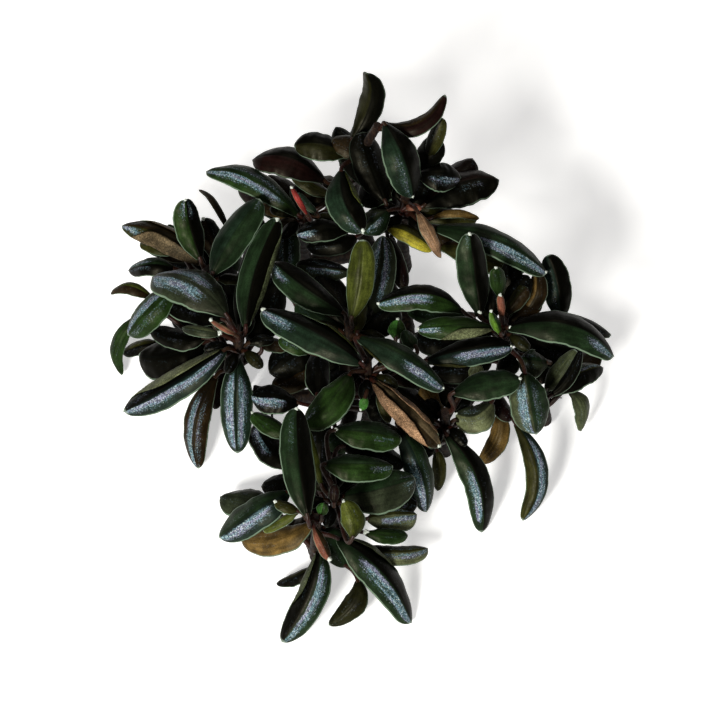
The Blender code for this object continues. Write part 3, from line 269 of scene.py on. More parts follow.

# Inner leaves under the main ones, given in the same way, mostly near-black or dark as painted shade of the plant's
# shadowed interior
INNER_LEAVES_IN_PAINTED_SHADE = [
    ("stem_left", (-30.0, 7.0, 15), (-33.0, 15.0, 17), (-33.5, 25.5, 16), 8, "black"),
    ("stem_left", (-30.0, 7.5, 18), (-28.5, 19.5, 22), (-24.5, 35.0, 24), 5, "black"),
    ("stem_left", (-24.5, 2.5, 16), (-24.5, 10.5, 19), (-20.0, 21.0, 20), 9.5, "black"),
    ("stem_left", (-28.0, 4.0, 14), (-25.0, 9.5, 17), (-19.0, 13.5, 17), 7, "brown"),
    ("stem_left", (-32.0, 5.0, 12), (-39.0, 8.5, 13), (-47.5, 11.0, 11), 8, "black"),
    ("stem_left", (-32.0, 1.0, 10), (-34.5, -5.0, 8), (-36.5, -13.0, 3), 4.5, "maroon"),
    ("stem_upper_left", (-37.5, 23.0, 16), (-39.0, 27.5, 19), (-40.0, 31.5, 20), 5.5, "black"),
    ("stem_upper_left", (-42.5, 24.5, 15), (-49.0, 27.5, 16), (-55.0, 30.0, 14), 5, "brown"),
    ("stem_upper_left", (-36.0, 21.0, 12), (-42.5, 23.0, 12), (-50.0, 24.5, 9), 7, "black"),
    ("rhizome_middle", (-12.0, 4.0, 15), (-17.5, 0.0, 15), (-22.5, -4.0, 12), 9, "black"),
    ("rhizome_middle", (-10.5, 2.5, 13), (-14.5, -3.0, 13), (-22.0, -7.0, 10), 8, "brown"),
    ("rhizome_middle", (-7.5, 2.0, 14), (-7.0, -3.0, 12), (-8.0, -8.0, 9), 7, "black"),
    ("rhizome_middle", (-3.5, 7.0, 22), (-6.0, 14.0, 25), (-10.5, 21.0, 25), 9, "black"),
    ("rhizome_middle", (-4.5, 6.0, 22), (-9.5, 9.0, 24), (-15.5, 14.0, 22), 7, "dark_green"),
    ("rhizome_middle", (0.5, 6.0, 22), (5.0, 9.5, 24), (9.0, 13.5, 22), 8, "black"),
    ("rhizome_middle", (-0.5, 6.0, 26), (-0.5, 11.0, 27), (0.5, 16.5, 27), 4.5, "olive"),
    ("rhizome_middle", (-2.0, 2.0, 18), (-2.0, -3.5, 16), (-1.0, -9.0, 12), 6, "maroon"),
    ("rhizome_back", (-0.5, 30.5, 24), (-6.0, 29.0, 25), (-13.5, 28.0, 22), 6, "black"),
    ("rhizome_back", (6.5, 39.0, 34), (3.0, 48.0, 38), (0.5, 56.5, 42), 8.5, "black"),
    ("rhizome_back", (4.0, 42.0, 30), (-1.0, 50.0, 34), (-6.0, 58.0, 34), 7, "black"),
    ("rhizome_back", (1.5, 50.0, 36), (-2.0, 53.0, 38), (-7.0, 54.5, 38), 6, "brown"),
    ("rhizome_back", (-2.5, 42.5, 24), (-5.0, 39.0, 22), (-9.5, 36.5, 18), 6, "black"),
    ("stem_back_left", (-15.0, 31.0, 24), (-17.0, 33.0, 25), (-20.0, 34.5, 24), 4.5, "brown"),
    ("stem_back_left", (-15.0, 38.0, 22), (-19.0, 42.5, 24), (-23.0, 46.0, 22), 7, "maroon"),
    ("stem_back_left", (-7.0, 39.0, 26), (-11.0, 42.0, 27), (-16.0, 45.0, 26), 5.5, "brown"),
    ("stem_back_left", (-9.5, 42.5, 26), (-13.0, 46.5, 28), (-17.0, 49.5, 28), 6, "black"),
    ("stem_back_right", (10.0, 36.0, 28), (7.5, 39.5, 31), (5.0, 43.5, 32), 6.5, "maroon"),
    ("stem_back_right", (12.0, 37.0, 32), (15.5, 42.0, 35), (18.0, 47.5, 36), 5.5, "black"),
    ("stem_back_right", (13.0, 36.5, 30), (20.5, 36.0, 32), (29.5, 34.5, 30), 5, "olive"),
    ("stem_back_right", (14.5, 34.0, 30), (20.5, 30.5, 30), (27.5, 27.5, 26), 6.5, "brown"),
    ("stem_back_right", (21.0, 43.5, 32), (25.0, 47.0, 33), (28.5, 50.0, 32), 7, "maroon"),
    ("stem_back_right", (14.0, 46.5, 38), (17.0, 51.0, 42), (20.0, 55.0, 44), 6.5, "black"),
    ("stem_back_right", (8.0, 30.5, 26), (6.5, 24.5, 22), (6.0, 17.5, 16), 6.5, "black"),
    ("stem_centre", (27.5, 4.0, 22), (20.0, 4.5, 24), (14.0, 6.0, 22), 8, "black"),
    ("stem_centre", (27.0, 11.0, 24), (20.0, 11.0, 26), (12.0, 12.0, 24), 5.5, "dark_green"),
    ("stem_centre", (4.5, -6.0, 20), (12.0, -10.0, 20), (20.0, -15.0, 16), 8.5, "black"),
    ("stem_centre", (2.5, -8.0, 18), (4.5, -12.0, 18), (6.5, -17.0, 14), 6, "black"),
    ("stem_centre", (-1.0, -3.0, 16), (-5.5, -5.0, 15), (-12.0, -8.0, 12), 7, "black"),
    ("stem_centre", (5.5, -3.0, 24), (10.5, -4.0, 24), (16.0, -6.0, 22), 6, "maroon"),
    ("stem_right", (33.0, -1.0, 17), (26.0, -2.0, 18), (17.5, -3.0, 16), 8, "black"),
    ("stem_right", (33.0, 9.5, 28), (33.0, 14.0, 31), (32.0, 20.0, 32), 6, "black"),
    ("stem_right", (36.5, 8.5, 27), (40.5, 12.0, 29), (45.5, 14.0, 28), 5.5, "brown"),
    ("stem_right", (38.5, 5.5, 20), (46.5, 3.0, 21), (55.5, 1.0, 18), 9, "black"),
    ("stem_right", (36.0, -5.5, 20), (37.0, -1.5, 22), (38.5, 2.0, 23), 5.5, "black"),
    ("stem_right", (37.0, 11.0, 30), (39.0, 16.0, 33), (42.0, 20.5, 34), 6, "black"),
    ("stem_low_right", (45.0, -6.5, 15), (46.5, -2.5, 17), (48.0, 1.5, 18), 6, "black"),
    ("stem_low_right", (49.0, -7.0, 12), (54.0, -2.5, 13), (60.0, 2.0, 13), 7.5, "brown"),
    ("stem_front_right", (20.0, -7.0, 18), (24.0, -10.0, 18), (28.0, -11.5, 16), 6, "black"),
    ("stem_front_right", (21.5, -16.0, 12), (17.0, -20.0, 10), (16.0, -25.5, 6), 6, "black"),
    ("stem_front", (-8.0, -16.0, 16), (-10.0, -20.5, 16), (-10.0, -28.0, 12), 7.5, "black"),
    ("stem_front", (0.0, -17.5, 17), (-4.0, -19.0, 18), (-9.0, -20.0, 16), 8, "dark_green"),
    ("stem_front", (-4.0, -22.0, 18), (3.5, -23.0, 19), (11.5, -26.5, 16), 8, "black"),
    ("stem_front", (-6.5, -33.0, 15), (-4.0, -31.0, 17), (1.0, -28.5, 17), 7, "black"),
    ("stem_front", (-15.0, -33.0, 13), (-19.5, -31.0, 13), (-24.5, -32.0, 10), 7, "black"),
    ("stem_front", (5.0, -35.0, 12), (10.0, -35.0, 13), (14.5, -36.5, 11), 8, "black"),
    ("rhizome_front", (-9.0, -42.0, 14), (-6.0, -46.0, 12), (-3.0, -52.0, 7), 7, "dark_green"),
    ("rhizome_front", (-12.0, -40.0, 12), (-15.0, -42.0, 10), (-19.0, -43.5, 7), 6, "brown"),
    ("rhizome_back", (-1.0, 45.4, 18), (-2.0, 50.7, 20), (-3.0, 53.9, 16), 6.5, "black"),
    ("rhizome_back", (1.5, 41.5, 12), (5.5, 44.9, 13.5), (10.0, 45.7, 10), 5.5, "dark_green"),
    ("rhizome_back", (-3.5, 41.5, 12), (-8.0, 44.2, 13), (-12.5, 44.3, 9), 5.5, "brown"),
    ("rhizome_back", (-1.0, 51.4, 30), (1.0, 57.1, 32), (2.5, 59.5, 28), 6, "black"),
    ("stem_back_right", (13.5, 30.4, 14), (19.0, 34.0, 16), (25.0, 33.7, 12), 6, "black"),
    ("stem_back_right", (11.5, 34.7, 20), (12.5, 40.4, 22), (14.0, 42.8, 18), 6, "dark_green"),
    ("stem_back_right", (11.0, 37.0, 37), (13.0, 37.8, 38), (15.5, 37.0, 38), 2.2, "sheath"),
    ("stem_back_left", (-14.0, 32.1, 14), (-15.5, 37.4, 16), (-17.0, 39.8, 12), 5.5, "black"),
    ("stem_back_left", (-16.0, 29.4, 12), (-21.5, 31.4, 13.5), (-27.0, 29.6, 9), 5, "brown"),
    ("stem_back_left", (-14.5, 36.0, 21), (-19.5, 37.3, 22), (-25.5, 38.6, 19), 4.5, "gold"),
    ("stem_upper_left", (-39.0, 17.3, 12), (-41.0, 22.6, 14), (-43.0, 24.9, 10), 5.5, "black"),
    ("stem_upper_left", (-36.5, 17.8, 14), (-33.0, 23.6, 16), (-30.0, 25.9, 12), 5.5, "dark_green"),
    ("stem_right", (36.5, 1.8, 14), (39.0, 8.0, 16), (42.0, 10.3, 12), 6, "black"),
]

# What is special about a leaf: colours of its halves, where a black or darker half is painted shade on the half turned
# from the light, and its under side, the share of glitter with painted sheen on each half and where along the leaf it
# lies, and a margin folded over the upper side, how wide and where
# The first half lies to the left when looking from the base to the tip
LOOKS = {
    "leaf_left_01": {"bloom": (0.9, 0.75, 0.2, 0.95)},
    "leaf_left_02": {"bloom": (0.3, 0.85, 0.1, 1.0)},
    "leaf_left_03": {"bloom": (0.8, 0.3, 0.62, 1.0), "blunt": 2.4, "fold_second": 0.5, "fold_first": 0.95, "fold": (0.0, 0.95),
                     "under": "dull_tan", "first": "olive"},
    "leaf_left_04": {"bloom": (0.5, 0.4, 0.6, 1.0), "second": "black"},
    "leaf_left_05": {"bloom": (0.1, 0.35, 0.8, 1.0), "second": "dark_green"},
    "leaf_left_06": {"bloom": (0.2, 0.0, 0.8, 1.0), "second": "black", "fold_second": 0.32, "fold": (0.0, 1.1),
                     "under": "grey_moss"},
    "leaf_left_07": {"bloom": (0.7, 1.0, 0.12, 0.95), "midrib": 0.95},
    "leaf_left_08": {"bloom": (1.0, 0.2, 0.0, 1.0), "midrib": 0.8, "second": "black", "fold_second": 1.15, "fold": (0.0, 1.0),
                     "under": "sage"},
    "leaf_left_09": {"bloom": (0.35, 0.9, 0.15, 1.0), "midrib": 0.8, "blunt": 2.6},
    "leaf_left_10": {"bloom": (0.1, 0.0, 0.3, 0.9), "first": "black", "second": "black"},
    "leaf_back_01": {"bloom": (0.85, 0.3, 0.1, 1.0), "first": "green", "second": "dark_green", "hook": 0.7, "blunt": 2.2},
    "leaf_back_02": {"bloom": (0.05, 0.0, 0.2, 0.9), "second": "black", "rim": 0.4},
    "leaf_back_03": {"bloom": (0.05, 0.0, 0.2, 0.9), "first": "dark_olive", "second": "black"},
    "leaf_back_04": {"bloom": (0.0, 0.0, 0.2, 0.9), "first": "dark_olive", "second": "black", "hook": 1.0, "blunt": 2.6,
                     "rim": 0.3},
    "leaf_back_05": {"bloom": (0.1, 0.0, 0.2, 0.9), "first": "brown", "second": "maroon", "hook": 1.3, "blunt": 2.0},
    "leaf_back_06": {"bloom": (0.0, 0.25, 0.3, 1.0), "first": "black"},
    "leaf_back_07": {"bloom": (0.0, 0.5, 0.2, 1.0)},
    "leaf_back_08": {"bloom": (0.1, 0.2, 0.3, 0.8), "first": "maroon", "second": "black", "rim": 0.4},
    "leaf_back_09": {"bloom": (0.0, 0.3, 0.6, 1.0), "first": "black", "fold_first": 0.5, "fold": (0.0, 0.75),
                     "under": "yellow_olive"},
    "leaf_back_10": {"bloom": (0.1, 0.0, 0.3, 1.0)},
    "leaf_back_11": {"bloom": (0.15, 0.95, 0.3, 1.0)},
    "leaf_back_12": {"bloom": (0.1, 0.1, 0.3, 1.0), "second": "olive"},
    "leaf_middle_01": {"bloom": (0.7, 0.8, 0.2, 1.0)},
    "leaf_middle_02": {"bloom": (0.75, 0.0, 0.62, 1.0), "first": "dark_green"},
    "leaf_middle_03": {"bloom": (0.75, 0.0, 0.6, 1.0), "second": "black", "fold_second": 0.4, "fold": (0.05, 0.9),
                       "under": "moss"},
    "leaf_middle_04": {"bloom": (0.1, 0.9, 0.45, 1.0), "first": "dark_green", "fold_second": 0.22, "fold": (0.0, 0.5),
                       "under": "olive"},
    "leaf_middle_05": {"bloom": (0.1, 0.1, 0.8, 1.0), "first": "moss"},
    "leaf_middle_06": {"bloom": (1.0, 0.1, 0.35, 1.0), "second": "black"},
    "leaf_middle_07": {"bloom": (0.9, 0.15, 0.62, 1.0), "fold_first": 0.7, "fold": (0.0, 0.8), "under": "sage"},
    "leaf_middle_08": {"bloom": (0.0, 1.0, 0.25, 1.0), "first": "black", "fold_second": 0.25, "fold": (0.0, 0.6),
                       "under": "olive"},
    "leaf_middle_09": {"bloom": (0.1, 0.1, 0.8, 1.0), "first": "dark_green", "second": "dark_green"},
    "leaf_right_01": {"bloom": (0.0, 0.8, 0.66, 1.0), "first": "black", "hook": -1.2},
    "leaf_right_02": {"bloom": (0.35, 0.0, 0.75, 1.0), "first": "dark_green", "second": "black"},
    "leaf_right_03": {"bloom": (0.25, 0.0, 0.1, 0.8), "second": "black"},
    "leaf_right_04": {"bloom": (0.6, 0.1, 0.35, 0.95), "second": "black", "blunt": 2.3},
    "leaf_right_05": {"bloom": (0.3, 1.0, 0.1, 1.0), "first": "dark_green", "second": "grey_moss"},
    "leaf_right_06": {"bloom": (1.0, 0.1, 0.1, 1.0), "second": "olive", "hook": -0.8, "blunt": 2.6},
    "leaf_front_01": {"bloom": (0.0, 0.1, 0.7, 1.0), "first": "dull_tan", "second": "brown", "ripple": 0.5,
                      "fold_first": 0.7, "fold_second": 0.85, "fold": (0.0, 1.05), "under": "tan"},
    "leaf_front_02": {"bloom": (0.3, 1.0, 0.3, 1.0), "first": "dark_green"},
    "leaf_front_03": {"bloom": (0.1, 0.95, 0.3, 0.9), "first": "black", "second": "dark_green"},
    "leaf_front_04": {"bloom": (0.05, 0.35, 0.6, 1.0), "first": "green", "second": "green"},
    "leaf_front_05": {"bloom": (1.0, 0.15, 0.25, 1.0), "second": "dark_green"},
    "leaf_front_06": {"bloom": (0.2, 0.1, 0.5, 1.0), "second": "black"},
    "leaf_front_07": {"bloom": (0.9, 0.1, 0.1, 1.0), "fold_second": 0.6, "fold": (0.0, 0.8), "under": "grey_moss",
                      "first": "dark_green"},
    "leaf_front_08": {"bloom": (0.1, 1.0, 0.25, 1.0), "first": "black", "second": "dark_green", "fold_first": 0.55,
                      "fold": (0.0, 0.75), "under": "grey_moss", "hook": -1.3},
    "leaf_front_09": {"bloom": (0.25, 0.45, 0.7, 1.0), "first": "dark_green"},
    "leaf_front_10": {"bloom": (0.15, 0.4, 0.6, 1.0), "first": "dark_green"},
    "leaf_front_11": {"bloom": (0.1, 0.35, 0.5, 0.9), "first": "dark_green"},
    "left_a": {"hook": 1.2, "blunt": 2.2},
    "left_b": {"second": "yellow_olive", "first": "brown", "hook": 1.0, "blunt": 2.0},
    "left_c": {"bloom": (0.3, 0.5, 0.4, 1.0), "first": "black", "second": "dark_green"},
    "left_d": {"second": "black"},
    "left_f": {"first": "grey_green", "second": "grey_moss"},
    "left_g": {"first": "black", "second": "black"},
    "left_h": {"first": "black", "second": "olive"},
    "left_k": {"blunt": 2.0, "hook": 0.8},
    "back_g": {"first": "black", "second": "olive"},
    "back_i": {"blunt": 1.8, "ripple": 0.4},
    "middle_b": {"arch": 0.15, "blunt": 1.6, "second": "green"},
    "front_s": {"arch": 0.15, "blunt": 1.6, "second": "green"},
    "front_m": {"first": "dark_olive", "second": "dark_olive", "blunt": 1.6},
    "front_n": {"first": "black", "second": "dark_olive", "blunt": 1.8},
    "right_g": {"second": "green", "blunt": 1.8},
    "right_e": {"first": "dark_olive", "second": "brown"},
    "right_f": {"first": "gold", "second": "brown"},
    "front_o": {"second": "moss", "blunt": 2.0},
    "front_t": {"first": "brown", "ripple": 0.3},
    "left_l": {"second": "tan"},
    "right_i": {"blunt": 2.2, "second": "grey_moss", "first": "grey_moss"},
    "right_j": {"blunt": 2.2},
    "left_i": {"bloom": (0.2, 0.2, 0.5, 1.0)},
    "back_a": {"first": "maroon", "second": "gold"},
    "back_e": {"bloom": (0.4, 0.4, 0.2, 1.0), "first": "grey_green", "second": "dark_green"},
    "back_f": {"bloom": (1.0, 0.2, 0.55, 1.0)},
    "back_h": {"bloom": (0.5, 0.3, 0.2, 0.9), "first": "dark_green"},
    "back_j": {"first": "olive", "second": "yellow"},
    "middle_a": {"bloom": (0.7, 0.3, 0.1, 0.8), "second": "black"},
    "middle_e": {"bloom": (0.3, 0.1, 0.2, 0.9)},
    "front_e": {"bloom": (1.0, 0.1, 0.2, 1.0)},
    "front_g": {"bloom": (0.5, 0.1, 0.3, 0.9)},
    "front_p": {"bloom": (0.4, 0.9, 0.2, 1.0), "first": "olive"},
    "front_r": {"bloom": (0.3, 0.7, 0.2, 1.0), "first": "olive"},
    "right_h": {"bloom": (0.3, 0.3, 0.3, 1.0), "second": "dark_green"},
    "right_m": {"bloom": (0.2, 0.3, 0.2, 0.9), "second": "grey_green"},
}
PLAIN_GLITTER_AND_PAINTED_SHEEN = (0.15, 0.15, 0.3, 1.0)

# White drops: radius at the tip, and on some leaves at the base
TIP_DROPS = {
    "leaf_middle_03": 0.7, "left_l": 0.6, "left_d": 0.65, "leaf_left_06": 0.6, "back_c": 0.5, "back_h": 0.4,
    "leaf_back_09": 0.65, "leaf_back_06": 0.4, "leaf_back_11": 0.45, "leaf_right_02": 0.5, "right_b": 0.45,
    "right_d": 0.5, "right_g": 0.5, "leaf_middle_08": 0.4, "right_h": 0.65, "leaf_middle_09": 0.55,
    "middle_d": 0.5, "leaf_middle_04": 0.4, "leaf_middle_07": 0.5, "middle_b": 0.45, "leaf_middle_06": 0.5,
    "leaf_front_01": 0.55, "right_m": 0.4, "front_d": 0.5, "leaf_front_04": 0.4, "leaf_front_06": 0.5,
    "front_l": 0.55, "front_t": 0.7, "front_o": 0.45, "leaf_middle_02": 0.5, "middle_e": 0.45, "front_f": 0.5,
    "leaf_left_04": 0.35,
}
BASE_DROPS = {"leaf_right_02": 0.6, "leaf_right_01": 0.5, "front_q": 0.85, "leaf_front_11": 0.6, "front_b": 0.6,
              "left_f": 0.8}


# Places and curves, in millimetres
def seen(across, up, height):
    """The place of a point given as it stands in the slanted front view."""
    depth = (up - height * SLANT_COS) / SLANT_SIN
    return Vector((across, depth, height)) - PLAN_CENTRE


def as_seen(place):
    """Where a place stands in the slanted front view: right and up."""
    moved = place + PLAN_CENTRE
    return Vector((moved.x, moved.y * SLANT_SIN + moved.z * SLANT_COS))


def solid_points(node):
    """The corners of a solid, in millimetres."""
    return [corner.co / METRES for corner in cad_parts[node].data.vertices]


class Leaf:
    """A leaf and where its solid was set: its line, width, colours and margins."""

    def __init__(self, name, row, node=None):
        self.name = name
        self.stem, base, middle, tip, self.width, self.tone = row
        self.node = node
        planned = [seen(*base), seen(*middle), seen(*tip)]
        lift = self.lift_of_solid(planned[2]) if node else 0.0
        shift = Vector((0.0, -lift * SLANT_COS / SLANT_SIN, lift))
        self.points = [point + shift for point in planned]

    def lift_of_solid(self, tip):
        """How much higher the solid's tip stands than planned, on the same line of sight."""
        target = as_seen(tip)
        found = min(solid_points(self.node), key=lambda corner: (as_seen(corner) - target).length)
        return found.z - tip.z

    def tangent_at_base(self):
        base, middle, tip = self.points
        return (middle * 4.0 - base * 3.0 - tip).normalized()


def bract_rows(stem):
    """Rows, as in the tables, of the bracts around a stem."""
    top = Vector(UPRIGHTS[stem][-1])
    rows = []
    for k in range(BRACTS):
        angle = (k + 0.13 * len(stem)) * math.tau / BRACTS
        outward = Vector((math.cos(angle), math.sin(angle), 0.0))
        row = [stem]
        for reach, rise in ((0.25, 0.0), (0.62, 1.2), (1.0, 0.2)):
            spot = top + outward * BRACT_LENGTH * reach + UP * (rise - BRACT_DROP)
            row.append((spot.x, spot.y * SLANT_SIN + spot.z * SLANT_COS, spot.z))
        rows.append((*row, BRACT_WIDTH, BRACT_PAINTED_SHADE_TONES[k % len(BRACT_PAINTED_SHADE_TONES)]))
    return rows


def on_path(path, height):
    """The point of an upright path at a given height."""
    for low, high in zip(path, path[1:]):
        if height <= high[2]:
            share = max(0.0, (height - low[2]) / (high[2] - low[2]))
            return Vector(low).lerp(Vector(high), share) - PLAN_CENTRE
    return Vector(path[-1]) - PLAN_CENTRE


def stalk_line(leaf):
    """Points from inside the stem to the blade of a leaf, as its solid's stalk runs."""
    base = leaf.points[0]
    path = UPRIGHTS[leaf.stem]
    reach = (base - on_path(path, base.z)).to_2d().length
    height = min(max(base.z - 1.0 - 0.45 * reach, path[0][2] + 2.0), path[-1][2] - 0.8)
    axis = on_path(path, height)
    outward = base - axis
    outward.z = 0.0
    outward.normalize()
    root = axis + outward * STALK_START
    span = (base - root).length
    leave = root + (outward * 0.35 + UP * 0.25) * span
    arrive = base - leaf.tangent_at_base() * span * 0.3
    line = []
    for k in range(13):
        t = k / 12.0
        r = 1.0 - t
        line.append(root * r ** 3 + leave * 3.0 * r * r * t + arrive * 3.0 * r * t * t + base * t ** 3)
    return line + [base + leaf.tangent_at_base() * STALK_RUN_ON]


def smooth_path(points, steps):
    """A rounded line through the points, steps pieces between each two."""
    knots = [Vector(point) for point in points]
    knots = [knots[0] * 2.0 - knots[1]] + knots + [knots[-1] * 2.0 - knots[-2]]
    line = []
    for a, b, c, d in zip(knots, knots[1:], knots[2:], knots[3:]):
        for k in range(steps):
            t = k / steps
            line.append(0.5 * (2.0 * b + (c - a) * t + (2.0 * a - 5.0 * b + 4.0 * c - d) * t * t
                               + (3.0 * b - a - 3.0 * c + d) * t ** 3) - PLAN_CENTRE)
    line.append(knots[-2] - PLAN_CENTRE)
    return line


# Writing node trees as formulas
class Wire:
    """A value in a node tree that can be added, multiplied and so on."""

    def __init__(self, sheet, socket):
        self.sheet = sheet
        self.socket = socket

    @property
    def is_vector(self):
        return self.socket.type == "VECTOR"

    def __add__(self, other):
        return self.sheet.join("ADD", self, other)

    def __radd__(self, other):
        return self.sheet.join("ADD", other, self)

    def __sub__(self, other):
        return self.sheet.join("SUBTRACT", self, other)

    def __rsub__(self, other):
        return self.sheet.join("SUBTRACT", other, self)

    def __mul__(self, other):
        return self.sheet.times(self, other)

    def __rmul__(self, other):
        return self.sheet.times(self, other)

    def __truediv__(self, other):
        return self.sheet.number("DIVIDE", self, other)

    def __pow__(self, other):
        return self.sheet.number("POWER", self, other)


class Sheet:
    """A node tree under construction."""

    def __init__(self, tree):
        self.tree = tree

    def node(self, kind, settings=None, **inputs):
        made = self.tree.nodes.new(kind)
        for key, value in (settings or {}).items():
            setattr(made, key, value)
        for key, value in inputs.items():
            self.put(value, made.inputs[key.replace("_", " ")])
        return made

    def put(self, value, socket):
        if isinstance(value, Wire):
            self.tree.links.new(value.socket, socket)
        elif isinstance(value, bpy.types.NodeSocket):
            self.tree.links.new(value, socket)
        else:
            socket.default_value = value

    def wire(self, node, output):
        return Wire(self, node.outputs[output])

    def number(self, operation, *values):
        made = self.tree.nodes.new("ShaderNodeMath")
        made.operation = operation
        for value, socket in zip(values, made.inputs):
            self.put(value, socket)
        return Wire(self, made.outputs[0])

    def arrow(self, operation, *values):
        made = self.tree.nodes.new("ShaderNodeVectorMath")
        made.operation = operation
        sockets = [made.inputs[0], made.inputs["Scale"]] if operation == "SCALE" else made.inputs
        for value, socket in zip(values, sockets):
            self.put(value, socket)
        return Wire(self, made.outputs["Value" if operation == "DOT_PRODUCT" else "Vector"])

    def join(self, operation, first, second):
        vectors = [value for value in (first, second) if isinstance(value, Wire) and value.is_vector]
        return self.arrow(operation, first, second) if vectors else self.number(operation, first, second)

    def times(self, first, second):
        if first.is_vector:
            return self.arrow("SCALE", first, second)
        if isinstance(second, Wire) and second.is_vector:
            return self.arrow("SCALE", second, first)
        return self.number("MULTIPLY", first, second)

    def ramp(self, value, low, high, start=0.0, end=1.0):
        """A smooth change from start to end while value goes from low to high."""
        made = self.node("ShaderNodeMapRange", {"interpolation_type": "SMOOTHSTEP"})
        for item, key in ((value, "Value"), (low, "From Min"), (high, "From Max"), (start, "To Min"), (end, "To Max")):
            self.put(item, made.inputs[key])
        return Wire(self, made.outputs[0])

    def blend(self, share, first, second, mode="MIX"):
        made = self.tree.nodes.new("ShaderNodeMix")
        made.data_type = "RGBA"
        made.blend_type = mode
        self.put(share, made.inputs[0])
        self.put(first, made.inputs[6])
        self.put(second, made.inputs[7])
        return Wire(self, made.outputs[2])

    def attribute(self, name, output="Fac"):
        return self.wire(self.node("ShaderNodeAttribute", {"attribute_name": name}), output)


def add_inputs(tree, rows):
    """Named inputs of a geometry tree, and the identifier that each is set by."""
    tree.interface.new_socket("Geometry", in_out="INPUT", socket_type="NodeSocketGeometry")
    for name, kind in rows:
        tree.interface.new_socket(name, in_out="INPUT", socket_type=kind)
    tree.interface.new_socket("Geometry", in_out="OUTPUT", socket_type="NodeSocketGeometry")


def set_inputs(modifier, values):
    for item in modifier.node_group.interface.items_tree:
        if item.item_type == "SOCKET" and item.in_out == "INPUT" and item.name in values:
            modifier[item.identifier] = values[item.name]


FLOAT = "NodeSocketFloat"
VECTOR = "NodeSocketVector"
COLOUR = "NodeSocketColor"
INTEGER = "NodeSocketInt"
MATERIAL = "NodeSocketMaterial"
LEAF_INPUTS = [
    ("Base", VECTOR), ("Middle", VECTOR), ("Tip", VECTOR), ("Width", FLOAT), ("Base Half Width", FLOAT),
    ("Thickness", FLOAT), ("Arch", FLOAT), ("Groove", FLOAT), ("Bulge", FLOAT), ("Ripple", FLOAT),
    ("Bluntness", FLOAT), ("Hook", FLOAT), ("Roll", FLOAT),
    ("Fold First", FLOAT), ("Fold Second", FLOAT), ("Fold Start", FLOAT), ("Fold End", FLOAT),
    ("Fold Radius", FLOAT), ("Fold Angle", FLOAT), ("Seed", FLOAT), ("Rows", INTEGER), ("Columns", INTEGER),
    ("First Colour", COLOUR), ("Second Colour", COLOUR), ("Under Colour", COLOUR),
    ("Glitter And Painted Sheen First", FLOAT), ("Glitter And Painted Sheen Second", FLOAT), ("Glitter And Painted Sheen Start", FLOAT), ("Glitter And Painted Sheen End", FLOAT),
    ("Midrib", FLOAT), ("Rim", FLOAT), ("Tip Drop", FLOAT), ("Base Drop", FLOAT), ("Leaf Material", MATERIAL), ("Drop Material", MATERIAL),
]


